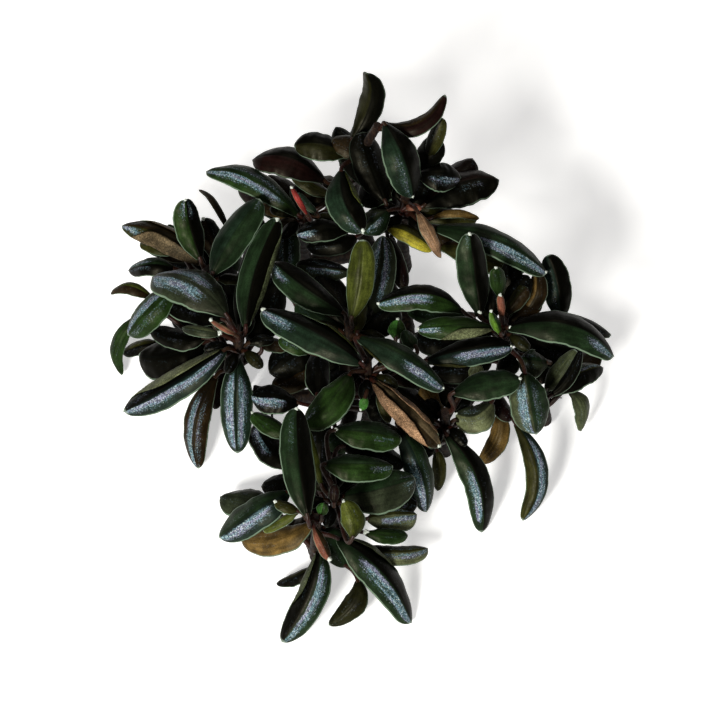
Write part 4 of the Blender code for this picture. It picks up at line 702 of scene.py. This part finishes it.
def leaf_tree():
    """Geometry tree of one leaf: a thin closed blade on a curved midrib, with drops at its ends."""
    tree = bpy.data.node_groups.new("leaf", "GeometryNodeTree")
    add_inputs(tree, LEAF_INPUTS)
    sheet = Sheet(tree)
    entry = tree.nodes.new("NodeGroupInput")
    given = {name: Wire(sheet, entry.outputs[name]) for name, _ in LEAF_INPUTS}

    grid = sheet.node("GeometryNodeMeshGrid", Size_X=2.0, Size_Y=1.0,
                      Vertices_X=given["Columns"], Vertices_Y=given["Rows"])
    split = sheet.node("ShaderNodeSeparateXYZ", Vector=sheet.wire(sheet.node("GeometryNodeInputPosition"), 0))
    across = sheet.wire(split, "X")
    row = sheet.wire(split, "Y") + 0.5
    along = row - sheet.number("SINE", row * math.tau) * 0.07
    flat = sheet.wire(grid, "Mesh")
    flat = stored_value(sheet, flat, "FLOAT", "across", across)
    flat = stored_value(sheet, flat, "FLOAT", "along", along)
    across = named_value(sheet, "across")
    along = named_value(sheet, "along")

    # Midrib and its directions
    near = (1.0 - along) * (1.0 - along * 2.0)
    mid = along * 4.0 * (1.0 - along)
    far = along * (along * 2.0 - 1.0)
    centre = given["Base"] * near + given["Middle"] * mid + given["Tip"] * far
    slope = (given["Base"] * (along * 4.0 - 3.0) + given["Middle"] * (4.0 - along * 8.0)
             + given["Tip"] * (along * 4.0 - 1.0))
    tangent = sheet.arrow("NORMALIZE", slope)
    heading = sheet.arrow("MULTIPLY", given["Tip"] - given["Base"], (1.0, 1.0, 0.0))
    level = sheet.arrow("NORMALIZE", sheet.arrow("CROSS_PRODUCT", (0.0, 0.0, 1.0), heading))
    flat_side = sheet.arrow("NORMALIZE", level - tangent * sheet.arrow("DOT_PRODUCT", level, tangent))
    flat_normal = sheet.arrow("CROSS_PRODUCT", tangent, flat_side)
    roll = given["Roll"] * (along - 0.2)
    side = flat_side * sheet.number("COSINE", roll) + flat_normal * sheet.number("SINE", roll)
    normal = flat_normal * sheet.number("COSINE", roll) - flat_side * sheet.number("SINE", roll)
    centre = centre + flat_side * (given["Hook"] * sheet.ramp(along, 0.62, 1.05) ** 1.5)

    # Outline
    rising = sheet.number("MINIMUM", along / WIDEST_AT, 1.0)
    widening = sheet.number("SINE", rising * (math.pi * 0.5)) ** BASE_TAPER
    falling = sheet.number("MAXIMUM", along - WIDEST_AT, 0.0) / (1.0 - WIDEST_AT)
    closing_in = sheet.number("MAXIMUM", 1.0 - falling ** given["Bluntness"], 0.0) ** 0.5
    swell = widening * closing_in
    neck = sheet.number("MAXIMUM", 1.0 - along / 0.14, 0.0) ** 2.0
    seat = sheet.node("ShaderNodeCombineXYZ", X=along * 5.5, Y=across * 0.6, Z=given["Seed"])
    waves = sheet.node("ShaderNodeTexNoise", {"noise_dimensions": "3D"}, Vector=seat.outputs[0], Scale=1.0, Detail=2.0)
    wave = sheet.wire(waves, "Fac") - 0.5
    half = given["Width"] * 0.5 * swell * (1.0 + wave * 0.24) + given["Base Half Width"] * neck

    # Where a margin is folded over, the blade runs on past the fold and lies back over its upper side
    size = sheet.number("ABSOLUTE", across)
    sign = sheet.number("SIGN", across)
    first = sheet.ramp(across, -0.01, 0.01)
    folded = given["Fold First"] * first + given["Fold Second"] * (1.0 - first)
    opening = sheet.ramp(along, given["Fold Start"] - 0.04, given["Fold Start"] + 0.08)
    closing = sheet.ramp(along, given["Fold End"], given["Fold End"] - 0.42)
    flap = half * folded * opening * closing
    run = size * (half + flap)
    radius = given["Fold Radius"]
    edge = half - radius
    most = given["Fold Angle"] * sheet.ramp(flap, 0.0, radius * 3.0)
    turn = sheet.number("MINIMUM", sheet.number("MAXIMUM", run - edge, 0.0) / radius, most)
    rest = sheet.number("MAXIMUM", run - edge - radius * most, 0.0)
    out = sheet.number("MINIMUM", run, edge) + radius * sheet.number("SINE", turn) + rest * sheet.number("COSINE", turn)
    rise = radius * (1.0 - sheet.number("COSINE", turn)) + rest * sheet.number("SINE", turn)

    # Cross-section: arched down to the margins, each half a little full, a groove over the midrib
    spot = sheet.number("MAXIMUM", out, 0.0) / sheet.number("MAXIMUM", half, 0.00001)
    fall = given["Arch"] * half * (spot ** ARCH_POWER)
    full = given["Bulge"] * half * sheet.number("SINE", sheet.number("MINIMUM", spot, 1.0) * math.pi)
    dent = sheet.number("MAXIMUM", 1.0 - out / 0.0006, 0.0) ** 2.0
    groove = given["Groove"] * dent * sheet.ramp(along, 1.0, 0.7)
    rough = sheet.node("ShaderNodeCombineXYZ", X=along * 5.0, Y=across * 0.9, Z=given["Seed"] + 3.7)
    swells = sheet.node("ShaderNodeTexNoise", {"noise_dimensions": "3D"}, Vector=rough.outputs[0], Scale=1.0, Detail=1.0)
    ripple = given["Ripple"] * (sheet.wire(swells, "Fac") - 0.5) * sheet.ramp(along, 0.0, 0.2) * (0.4 + size)
    height = rise - fall + full - groove + ripple
    place = centre + side * (out * sign) + normal * height

    # Upper and under skins, which meet at the margins, the base and the tip
    tilt = turn * sign
    outward = normal * sheet.number("COSINE", tilt) - side * sheet.number("SINE", tilt)
    thin = sheet.number("MAXIMUM", 1.0 - size * size, 0.0) ** 0.5
    ends = sheet.ramp(along, 0.0, 0.07) * sheet.ramp(along, 1.0, 0.93)
    half_thick = given["Thickness"] * 0.5 * thin * ends
    upper = skin_of_leaf(sheet, flat, place + outward * half_thick, 0.0, False)
    under = skin_of_leaf(sheet, flat, place - outward * half_thick, 1.0, True)
    both = sheet.node("GeometryNodeJoinGeometry")
    tree.links.new(under.socket, both.inputs[0])
    tree.links.new(upper.socket, both.inputs[0])
    closed = sheet.node("GeometryNodeMergeByDistance", Geometry=both.outputs[0], Distance=0.000004)
    result = sheet.wire(closed, 0)
    for name in ("First Colour", "Second Colour", "Under Colour"):
        result = stored_value(sheet, result, "FLOAT_COLOR", name.lower().replace(" ", "_"), given[name])
    # Share of glitter with painted sheen, set per half, most on the half turned to the light
    onset = sheet.ramp(along, given["Glitter And Painted Sheen Start"] - 0.03, given["Glitter And Painted Sheen Start"] + 0.22)
    finish = sheet.ramp(along, given["Glitter And Painted Sheen End"] + 0.04, given["Glitter And Painted Sheen End"] - 0.05)
    bloom = (given["Glitter And Painted Sheen First"] * first + given["Glitter And Painted Sheen Second"] * (1.0 - first)) * onset * finish
    result = stored_value(sheet, result, "FLOAT", "bloom", bloom)
    for name, value in (("leaf_seed", "Seed"), ("midrib", "Midrib"), ("rim", "Rim")):
        result = stored_value(sheet, result, "FLOAT", name, given[value])
    smooth = sheet.node("GeometryNodeSetShadeSmooth", Geometry=result)
    blade = sheet.node("GeometryNodeSetMaterial", Geometry=smooth.outputs[0], Material=given["Leaf Material"])

    # White drops sit on the tip and, on a few leaves, over the base
    whole = sheet.node("GeometryNodeJoinGeometry")
    tip_seat = given["Tip"] + (given["Middle"] - given["Tip"]) * 0.03 + level * given["Hook"]
    base_seat = given["Base"] + (given["Middle"] - given["Base"]) * 0.06
    for size_of_drop, spot_of_drop in ((given["Tip Drop"], tip_seat), (given["Base Drop"], base_seat)):
        drop = drop_of_leaf(sheet, size_of_drop, spot_of_drop, given["Seed"], given["Drop Material"])
        tree.links.new(drop.socket, whole.inputs[0])
    tree.links.new(blade.outputs[0], whole.inputs[0])
    real = sheet.node("GeometryNodeRealizeInstances", Geometry=whole.outputs[0])
    leave = tree.nodes.new("NodeGroupOutput")
    tree.links.new(real.outputs[0], leave.inputs[0])
    return tree


def drop_of_leaf(sheet, radius, seat, seed, material):
    """A lumpy drop of the given radius, or nothing where the radius is zero."""
    ball = sheet.node("GeometryNodeMeshIcoSphere", Radius=1.0, Subdivisions=3)
    spot = sheet.wire(sheet.node("GeometryNodeInputPosition"), 0)
    shift = sheet.node("ShaderNodeCombineXYZ", X=seed, Y=seed, Z=0.0)
    lumps = sheet.node("ShaderNodeTexNoise", Vector=spot + Wire(sheet, shift.outputs[0]), Scale=1.1, Detail=1.0)
    moved = seat + Wire(sheet, sheet.node("ShaderNodeCombineXYZ", X=0.0, Y=0.0, Z=radius * 0.35).outputs[0])
    formed = spot * (radius * (0.1 + sheet.wire(lumps, "Fac") * 1.4)) + moved
    shaped = sheet.node("GeometryNodeSetPosition", Geometry=ball.outputs[0], Position=formed)
    soft = sheet.node("GeometryNodeSetShadeSmooth", Geometry=shaped.outputs[0])
    drop = sheet.node("GeometryNodeSetMaterial", Geometry=soft.outputs[0], Material=material)
    wanted = sheet.node("GeometryNodeSwitch", {"input_type": "GEOMETRY"})
    sheet.put(sheet.number("GREATER_THAN", radius, 0.0), wanted.inputs["Switch"])
    sheet.put(drop.outputs[0], wanted.inputs["True"])
    return Wire(sheet, wanted.outputs[0])


def stored_value(sheet, geometry, kind, name, value):
    """The geometry with a value kept on each of its corners."""
    stored = sheet.node("GeometryNodeStoreNamedAttribute", {"data_type": kind, "domain": "POINT"},
                        Geometry=geometry, Name=name)
    sheet.put(value, stored.inputs["Value"])
    return sheet.wire(stored, 0)


def named_value(sheet, name):
    made = sheet.node("GeometryNodeInputNamedAttribute", {"data_type": "FLOAT"}, Name=name)
    return Wire(sheet, made.outputs[0])


def skin_of_leaf(sheet, flat, place, under, turned):
    """One skin of the blade, marked as the upper or the under side."""
    moved = sheet.node("GeometryNodeSetPosition", Geometry=flat, Position=place)
    stored = sheet.node("GeometryNodeStoreNamedAttribute", {"data_type": "FLOAT", "domain": "FACE"},
                        Geometry=moved.outputs[0], Name="under")
    sheet.put(under, stored.inputs["Value"])
    if not turned:
        return sheet.wire(stored, 0)
    return sheet.wire(sheet.node("GeometryNodeFlipFaces", Mesh=stored.outputs[0]), 0)


ROD_INPUTS = [("Sides", INTEGER), ("Step", FLOAT), ("Knots", FLOAT), ("Knot Spacing", FLOAT), ("Rod Material", MATERIAL)]


def rod_tree():
    """Geometry tree of stems: a knotty round rod along every line, as thick as the line says."""
    tree = bpy.data.node_groups.new("rods", "GeometryNodeTree")
    add_inputs(tree, ROD_INPUTS)
    sheet = Sheet(tree)
    entry = tree.nodes.new("NodeGroupInput")
    given = {name: Wire(sheet, entry.outputs[name]) for name, _ in ROD_INPUTS}
    lines = sheet.node("GeometryNodeMeshToCurve")
    tree.links.new(entry.outputs["Geometry"], lines.inputs[0])
    even = sheet.node("GeometryNodeResampleCurve", {"mode": "LENGTH"}, Curve=lines.outputs[0], Length=given["Step"])
    run = sheet.wire(sheet.node("GeometryNodeSplineParameter"), "Length")
    thick = named_value(sheet, "thick")
    rings = sheet.number("SINE", run / given["Knot Spacing"] * math.tau)
    rings = sheet.number("MAXIMUM", rings, 0.0) ** 2.0
    wood = sheet.ramp(thick, 0.0007, 0.0012)
    radius = thick * (1.0 + rings * given["Knots"] * wood)
    kept = sheet.node("GeometryNodeStoreNamedAttribute", {"data_type": "FLOAT", "domain": "POINT"},
                      Geometry=even.outputs[0], Name="run")
    sheet.put(run, kept.inputs["Value"])
    ring = sheet.node("GeometryNodeCurvePrimitiveCircle", Resolution=given["Sides"], Radius=1.0)
    tube = sheet.node("GeometryNodeCurveToMesh", Curve=kept.outputs[0], Profile_Curve=ring.outputs[0], Fill_Caps=True)
    sheet.put(radius, tube.inputs["Scale"])
    seat = sheet.wire(sheet.node("GeometryNodeInputPosition"), 0)
    lumps = sheet.node("ShaderNodeTexNoise", {"noise_dimensions": "3D"}, Vector=seat, Scale=420.0, Detail=2.0)
    outward = sheet.wire(sheet.node("GeometryNodeInputNormal"), 0)
    push = outward * ((sheet.wire(lumps, "Fac") - 0.5) * 0.0005 * wood)
    rough = sheet.node("GeometryNodeSetPosition", Geometry=tube.outputs[0], Offset=push)
    parts = sheet.node("ShaderNodeSeparateXYZ", Vector=seat)
    over = sheet.node("ShaderNodeCombineXYZ", X=parts.outputs["X"], Y=parts.outputs["Y"],
                      Z=sheet.number("MAXIMUM", sheet.wire(parts, "Z"), 0.00002))
    laid = sheet.node("GeometryNodeSetPosition", Geometry=rough.outputs[0], Position=over.outputs[0])
    smooth = sheet.node("GeometryNodeSetShadeSmooth", Geometry=laid.outputs[0])
    real = sheet.node("GeometryNodeRealizeInstances", Geometry=smooth.outputs[0])
    done = sheet.node("GeometryNodeSetMaterial", Geometry=real.outputs[0], Material=given["Rod Material"])
    leave = tree.nodes.new("NodeGroupOutput")
    tree.links.new(done.outputs[0], leave.inputs[0])
    return tree


# Materials
def new_material(name):
    material = bpy.data.materials.new(name)
    material.use_nodes = True
    sheet = Sheet(material.node_tree)
    shader = material.node_tree.nodes["Principled BSDF"]
    return material, sheet, shader


BLUE_PAINTED_SHEEN = (0.084, 0.142, 0.166, 1.0)
VIOLET_PAINTED_SHEEN = (0.126, 0.134, 0.190, 1.0)


def leaf_material():
    """Leaf skin: dark smooth halves, one often painted darker as shade, a pale glitter of grains with painted sheen
    along them, a thin pale margin.
    """
    material, sheet, shader = new_material("leaf_skin")
    across = sheet.attribute("across")
    along = sheet.attribute("along")
    under = sheet.attribute("under")
    bloom = sheet.attribute("bloom")
    seed = sheet.attribute("leaf_seed")
    place = sheet.wire(sheet.node("ShaderNodeTexCoord"), "Object")
    size = sheet.number("ABSOLUTE", across)

    first = sheet.ramp(across, -0.03, 0.03)
    tissue = sheet.blend(first, sheet.attribute("second_colour", "Color"), sheet.attribute("first_colour", "Color"))
    patches = sheet.node("ShaderNodeTexNoise", Vector=place, Scale=300.0, Detail=3.0)
    streak_seat = sheet.node("ShaderNodeCombineXYZ", X=along * 3.0, Y=across * 5.0, Z=seed)
    streaks = sheet.node("ShaderNodeTexNoise", Vector=streak_seat.outputs[0], Scale=1.0, Detail=3.0)
    mottle_and_painted_shade = sheet.ramp(sheet.wire(patches, "Fac"), 0.3, 0.7, 0.65, 1.4)
    mottle_and_painted_shade = mottle_and_painted_shade * sheet.ramp(sheet.wire(streaks, "Fac"), 0.3, 0.7, 0.7, 1.35)
    grains = sheet.node("ShaderNodeTexVoronoi", Vector=place, Scale=4700.0)
    spark = sheet.node("ShaderNodeSeparateColor", Color=sheet.wire(grains, "Color"))
    # the tissue also darkens towards the base: painted shade where the leaves crowd at the stem
    mottle_and_painted_shade = mottle_and_painted_shade * (0.72 + sheet.wire(spark, "Green") * 0.56) * sheet.ramp(along, 0.0, 0.5, 0.45, 1.1)
    tissue = sheet.blend(1.0, tissue, shade_colour(sheet, mottle_and_painted_shade), "MULTIPLY")
    midrib = sheet.ramp(size, 0.06, 0.02)
    tissue = sheet.blend(midrib * sheet.attribute("midrib"), tissue, (0.001, 0.002, 0.002, 1.0))

    # Pale glittering grains with a painted sheen over them, densest along the middle of each half and laid mostly on
    # the half turned to the light
    cloud_seat = sheet.node("ShaderNodeCombineXYZ", X=along * 2.2, Y=across * 2.6, Z=seed)
    clouds = sheet.node("ShaderNodeTexNoise", Vector=cloud_seat.outputs[0], Scale=1.6, Detail=3.0)
    wander = (sheet.wire(streaks, "Fac") - 0.5) * 0.35
    band = sheet.ramp(size + wander, 0.03, 0.26) * sheet.ramp(size + wander, 0.88, 0.26)
    line_seat = sheet.node("ShaderNodeCombineXYZ", X=along * 1.6, Y=across * 17.0, Z=seed)
    lines = sheet.node("ShaderNodeTexNoise", Vector=line_seat.outputs[0], Scale=1.0, Detail=2.0)
    field = bloom * band * sheet.ramp(sheet.wire(clouds, "Fac"), 0.25, 0.5, 0.35, 1.0)
    field = field * sheet.ramp(sheet.wire(lines, "Fac"), 0.32, 0.62, 0.72, 1.25)
    lit = sheet.ramp(field * 1.5 - sheet.wire(spark, "Red") * 0.55, 0.0, 0.80)
    painted_sheen_tint = sheet.blend(sheet.ramp(sheet.wire(clouds, "Fac"), 0.44, 0.60), BLUE_PAINTED_SHEEN, VIOLET_PAINTED_SHEEN)
    dust = 0.32 + sheet.wire(spark, "Green") ** 2.0 * 1.7
    glitter_and_painted_sheen_colour = sheet.blend(1.0, painted_sheen_tint, shade_colour(sheet, dust), "MULTIPLY")
    # painted glints: bright specks of painted highlight, stronger towards the tip
    painted_glint = sheet.ramp(sheet.wire(spark, "Blue"), 0.86, 0.93) * sheet.ramp(along, 0.1, 0.9, 0.35, 1.0)
    glitter_and_painted_sheen_colour = sheet.blend(painted_glint * 0.85, glitter_and_painted_sheen_colour, (0.42, 0.48, 0.47, 1.0))
    tissue = sheet.blend(lit * 0.95, tissue, glitter_and_painted_sheen_colour)

    # A thin pale margin and a pale tip
    margin = sheet.attribute("rim")
    rim = sheet.ramp(size + sheet.wire(streaks, "Fac") * 0.03, 0.945, 0.968)
    tissue = sheet.blend(rim * margin, tissue, (0.115, 0.165, 0.110, 1.0))
    point = sheet.ramp(along, 0.972, 0.995)
    tissue = sheet.blend(point * margin, tissue, (0.20, 0.25, 0.20, 1.0))

    speckle = mottle_and_painted_shade * (0.62 + sheet.wire(spark, "Red") ** 2.0 * 1.3)
    below = sheet.blend(1.0, sheet.attribute("under_colour", "Color"), shade_colour(sheet, speckle), "MULTIPLY")
    below = sheet.blend(sheet.ramp(size, 0.07, 0.0) * 0.5, below, (0.05, 0.03, 0.015, 1.0))
    sheet.put(sheet.blend(under, tissue, below), shader.inputs["Base Color"])
    gloss = sheet.ramp(sheet.wire(spark, "Blue"), 0.0, 1.0, 0.50, 0.34)
    sheet.put(gloss + under * 0.1, shader.inputs["Roughness"])

    bumps = lit * sheet.wire(spark, "Green") * 0.5 + sheet.wire(streaks, "Fac") + sheet.wire(patches, "Fac") * 0.6
    relief = sheet.node("ShaderNodeBump", Strength=0.5, Distance=0.00012)
    sheet.put(bumps, relief.inputs["Height"])
    sheet.put(sheet.wire(relief, 0), shader.inputs["Normal"])
    shader.inputs["Specular IOR Level"].default_value = 0.06
    shader.inputs["Specular Tint"].default_value = (1.0, 0.95, 0.70, 1.0)
    return material


def shade_colour(sheet, value):
    return sheet.wire(sheet.node("ShaderNodeCombineColor", Red=value, Green=value, Blue=value), 0)


def drop_material():
    """The white, slightly waxy drop at a leaf's tip."""
    material, sheet, shader = new_material("tip_drop")
    place = sheet.wire(sheet.node("ShaderNodeTexCoord"), "Object")
    cloud = sheet.node("ShaderNodeTexNoise", Vector=place, Scale=2500.0, Detail=2.0)
    colour = sheet.blend(sheet.wire(cloud, "Fac"), (0.30, 0.33, 0.28, 1.0), (0.62, 0.66, 0.60, 1.0))
    sheet.put(colour, shader.inputs["Base Color"])
    sheet.put(sheet.ramp(sheet.wire(cloud, "Fac"), 0.3, 0.7, 0.25, 0.45), shader.inputs["Roughness"])
    return material


def stem_material():
    """Red-brown stalks that turn to brown, ringed wood as they thicken, kept dark partly as painted shade."""
    material, sheet, shader = new_material("stem_skin")
    place = sheet.wire(sheet.node("ShaderNodeTexCoord"), "Object")
    thick = sheet.attribute("thick")
    run = sheet.attribute("run")
    wood = sheet.ramp(thick, 0.0007, 0.0012)
    streak_seat = sheet.node("ShaderNodeMapping", Vector=place, Scale=(1.0, 1.0, 0.35))
    streaks = sheet.node("ShaderNodeTexNoise", Vector=streak_seat.outputs[0], Scale=1500.0, Detail=4.0)
    mottle = sheet.node("ShaderNodeTexNoise", Vector=place, Scale=350.0, Detail=3.0)
    redness = sheet.ramp(sheet.wire(mottle, "Fac"), 0.35, 0.65)
    # stalk and bark colours: their own red-brown and brown, darkened partly as painted shade of the plant's interior
    stalk = sheet.blend(redness, (0.016, 0.0035, 0.0022, 1.0), (0.018, 0.0085, 0.004, 1.0))
    age = sheet.ramp(sheet.wire(streaks, "Fac"), 0.35, 0.7)
    bark = sheet.blend(age, (0.003, 0.0016, 0.0012, 1.0), (0.024, 0.014, 0.008, 1.0))
    rings = sheet.ramp(sheet.number("SINE", run * (math.tau / 0.0026) + sheet.wire(mottle, "Fac") * 9.0), 0.6, 1.0)
    bark = sheet.blend(rings * 0.6, bark, (0.008, 0.004, 0.003, 1.0))
    sheet.put(sheet.blend(wood, stalk, bark), shader.inputs["Base Color"])
    sheet.put(sheet.ramp(wood, 0.0, 1.0, 0.38, 0.62), shader.inputs["Roughness"])
    relief = sheet.node("ShaderNodeBump", Strength=0.6, Distance=0.0002)
    sheet.put(sheet.wire(streaks, "Fac") + rings * 0.5, relief.inputs["Height"])
    sheet.put(sheet.wire(relief, 0), shader.inputs["Normal"])
    shader.inputs["Specular IOR Level"].default_value = 0.15
    return material


# Making the pieces
def plain_mesh(name, start, tree, values):
    """The result of a geometry tree, run on a start mesh, as a plain object at the origin."""
    helper = bpy.data.objects.new(f"{name}_helper", start)
    bpy.context.scene.collection.objects.link(helper)
    modifier = helper.modifiers.new("shape", "NODES")
    modifier.node_group = tree
    set_inputs(modifier, values)
    ready = helper.evaluated_get(bpy.context.evaluated_depsgraph_get())
    mesh = bpy.data.meshes.new_from_object(ready)
    helper.modifiers.clear()
    bpy.data.objects.remove(helper, do_unlink=True)
    mesh.name = name
    thing = bpy.data.objects.new(name, mesh)
    bpy.context.scene.collection.objects.link(thing)
    return thing


def colour_of(tone):
    return (*TONES[tone], 1.0)


UNDER_TONES = {"dark_green": "grey_green", "teal": "grey_green", "blue": "grey_green", "black": "olive",
               "green": "grey_green", "brown": "olive", "maroon": "brown", "olive": "grey_green"}


def make_leaf(leaf, number, tree, materials, rows, columns):
    looks = LOOKS.get(leaf.name, {})
    fold_start, fold_end = looks.get("fold", (0.0, 1.0))
    glitter_and_painted_sheen_first, glitter_and_painted_sheen_second, glitter_and_painted_sheen_start, glitter_and_painted_sheen_end = looks.get("bloom", PLAIN_GLITTER_AND_PAINTED_SHEEN)
    values = {
        "Base": leaf.points[0] * METRES,
        "Middle": leaf.points[1] * METRES,
        "Tip": leaf.points[2] * METRES,
        "Width": leaf.width * BLADE_FULLNESS * METRES,
        "Base Half Width": BLADE_BASE_HALF_WIDTH * METRES,
        "Thickness": BLADE_THICKNESS * METRES,
        "Arch": looks.get("arch", BLADE_ARCH),
        "Groove": 0.0003 * looks.get("midrib", 0.3),
        "Bulge": 0.05,
        "Ripple": looks.get("ripple", 0.12) * leaf.width * METRES,
        "Bluntness": looks.get("blunt", TIP_BLUNTNESS),
        "Hook": looks.get("hook", 0.0) * METRES,
        "Roll": math.radians(MOST_ROLL * math.sin(number * 2.4 + 1.0)),
        "Fold First": looks.get("fold_first", 0.0),
        "Fold Second": looks.get("fold_second", 0.0),
        "Fold Start": fold_start,
        "Fold End": fold_end,
        "Fold Radius": FOLD_RADIUS * METRES,
        "Fold Angle": math.radians(FOLD_ANGLE),
        "Seed": number * 1.37,
        "Rows": rows,
        "Columns": columns,
        "First Colour": colour_of(looks.get("first", leaf.tone)),
        "Second Colour": colour_of(looks.get("second", leaf.tone)),
        "Under Colour": colour_of(looks.get("under", UNDER_TONES.get(leaf.tone, leaf.tone))),
        "Glitter And Painted Sheen First": glitter_and_painted_sheen_first,
        "Glitter And Painted Sheen Second": glitter_and_painted_sheen_second,
        "Glitter And Painted Sheen Start": glitter_and_painted_sheen_start,
        "Glitter And Painted Sheen End": glitter_and_painted_sheen_end,
        "Midrib": looks.get("midrib", 0.3),
        "Rim": looks.get("rim", 0.85) if leaf.node else 0.2,
        "Tip Drop": TIP_DROPS.get(leaf.name, 0.0) * METRES,
        "Base Drop": BASE_DROPS.get(leaf.name, 0.0) * METRES,
        "Leaf Material": materials["leaf"],
        "Drop Material": materials["drop"],
    }
    return plain_mesh(leaf.name, bpy.data.meshes.new(leaf.name), tree, values)


def add_line(lines, points, radii):
    """Adds a line to a stem's skeleton, its thickness running through the radii."""
    start = len(lines["verts"])
    last = len(points) - 1
    for k, point in enumerate(points):
        place = k / last * (len(radii) - 1)
        low = min(int(place), len(radii) - 2)
        lines["verts"].append(point * METRES)
        lines["thick"].append((radii[low] + (radii[low + 1] - radii[low]) * (place - low)) * METRES)
    lines["edges"] += [(start + k, start + k + 1) for k in range(last)]


def make_stem(name, leaves, tree, material):
    lines = {"verts": [], "thick": [], "edges": []}
    if name in RHIZOMES:
        add_line(lines, smooth_path(RHIZOMES[name], 10), (RHIZOME_RADIUS, RHIZOME_RADIUS))
    add_line(lines, smooth_path(UPRIGHTS[name], 12), (FOOT_RADIUS, TOP_RADIUS, TOP_RADIUS * 0.8))
    for points in ROOTS.get(name, []):
        spots = [(x, y, ROOT_RADIUS * 1.1) for x, y in points]
        add_line(lines, smooth_path(spots, 8), (ROOT_RADIUS, ROOT_RADIUS * 0.8, ROOT_RADIUS * 0.3))
    for leaf in leaves:
        if leaf.stem == name:
            add_line(lines, stalk_line(leaf), STALK_RADII)
    skeleton = bpy.data.meshes.new(name)
    skeleton.from_pydata(lines["verts"], lines["edges"], [])
    thickness = skeleton.attributes.new("thick", "FLOAT", "POINT")
    thickness.data.foreach_set("value", lines["thick"])
    values = {"Sides": 14, "Step": 0.0005, "Knots": 0.08, "Knot Spacing": 0.0021, "Rod Material": material}
    return plain_mesh(f"{name}_wood", skeleton, tree, values)


def join_pieces(name, things):
    """Several objects joined into one piece."""
    with bpy.context.temp_override(active_object=things[0], selected_editable_objects=things):
        bpy.ops.object.join()
    things[0].name = name
    things[0].data.name = name
    return things[0]


def dress(piece, node):
    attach(piece, "root")
    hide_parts(node)


# Camera, light and floor
CAMERA_DISTANCE = 2.2
PHOTO_WIDTH_MM = 181.6
FRAME_SHIFT = (0.12, -0.62)


def aim(thing, place, target):
    thing.location = place
    thing.rotation_euler = (target - place).to_track_quat("-Z", "Y").to_euler()


def set_camera():
    data = bpy.data.cameras.new("camera")
    data.sensor_width = 36.0
    data.lens = 36.0 * CAMERA_DISTANCE / (PHOTO_WIDTH_MM * METRES)
    camera = bpy.data.objects.new("camera", data)
    bpy.context.scene.collection.objects.link(camera)
    upward = Vector((0.0, SLANT_SIN, SLANT_COS))
    target = (-PLAN_CENTRE + Vector((FRAME_SHIFT[0], 0.0, 0.0)) + upward * FRAME_SHIFT[1]) * METRES
    away = Vector((0.0, -SLANT_COS, SLANT_SIN))
    aim(camera, target + away * CAMERA_DISTANCE, target)
    data.clip_end = 10.0
    bpy.context.scene.camera = camera


def add_light(name, place, target, size, power, colour):
    data = bpy.data.lights.new(name, "AREA")
    data.shape = "DISK"
    data.size = size
    data.energy = power
    data.color = colour
    light = bpy.data.objects.new(name, data)
    bpy.context.scene.collection.objects.link(light)
    aim(light, Vector(place), Vector(target))


def set_light():
    world = bpy.data.worlds.new("studio")
    world.use_nodes = True
    world.node_tree.nodes["Background"].inputs["Color"].default_value = (1.0, 0.96, 0.92, 1.0)
    world.node_tree.nodes["Background"].inputs["Strength"].default_value = 0.12
    bpy.context.scene.world = world
    add_light("front_left", (-0.52, -1.04, 0.84), (0.0, 0.0, 0.02), 0.40, 34.0, (1.0, 0.985, 0.94))
    add_light("above", (0.3, 0.9, 1.5), (0.0, 0.0, 0.0), 1.2, 6.0, (1.0, 0.97, 0.94))
    bpy.context.scene.view_settings.view_transform = "Standard"


def set_floor():
    mesh = bpy.data.meshes.new("floor")
    wide = 3.0
    mesh.from_pydata([(-wide, -wide, 0.0), (wide, -wide, 0.0), (wide, wide, 0.0), (-wide, wide, 0.0)], [], [(0, 1, 2, 3)])
    floor = bpy.data.objects.new("floor", mesh)
    bpy.context.scene.collection.objects.link(floor)
    material, _, shader = new_material("floor")
    shader.inputs["Base Color"].default_value = (0.90, 0.90, 0.90, 1.0)
    shader.inputs["Roughness"].default_value = 0.9
    shader.inputs["Emission Color"].default_value = (1.0, 1.0, 1.0, 1.0)
    shader.inputs["Emission Strength"].default_value = 0.48
    mesh.materials.append(material)


def build():
    leaf_shape = leaf_tree()
    rod_shape = rod_tree()
    materials = {"leaf": leaf_material(), "drop": drop_material()}
    stem_skin = stem_material()
    main = [Leaf(name, row, name) for name, row in MAIN_LEAVES.items()]
    small = [Leaf(name, row, row[0]) for name, row in SMALL_LEAVES.items()]
    inner = INNER_LEAVES_IN_PAINTED_SHADE + [row for stem in BRACT_STEMS for row in bract_rows(stem)]
    small += [Leaf(f"inner_{number}", row) for number, row in enumerate(inner)]
    for number, leaf in enumerate(main):
        dress(make_leaf(leaf, number, leaf_shape, materials, 65, 41), leaf.node)
    for name in UPRIGHTS:
        dress(make_stem(name, main + small, rod_shape, stem_skin), name)
        own = [make_leaf(leaf, 60 + number, leaf_shape, materials, 41, 23)
               for number, leaf in enumerate(small) if leaf.stem == name]
        if own:
            dress(join_pieces(f"{name}_small_leaves", own), name)


build()
set_camera()
set_light()
set_floor()
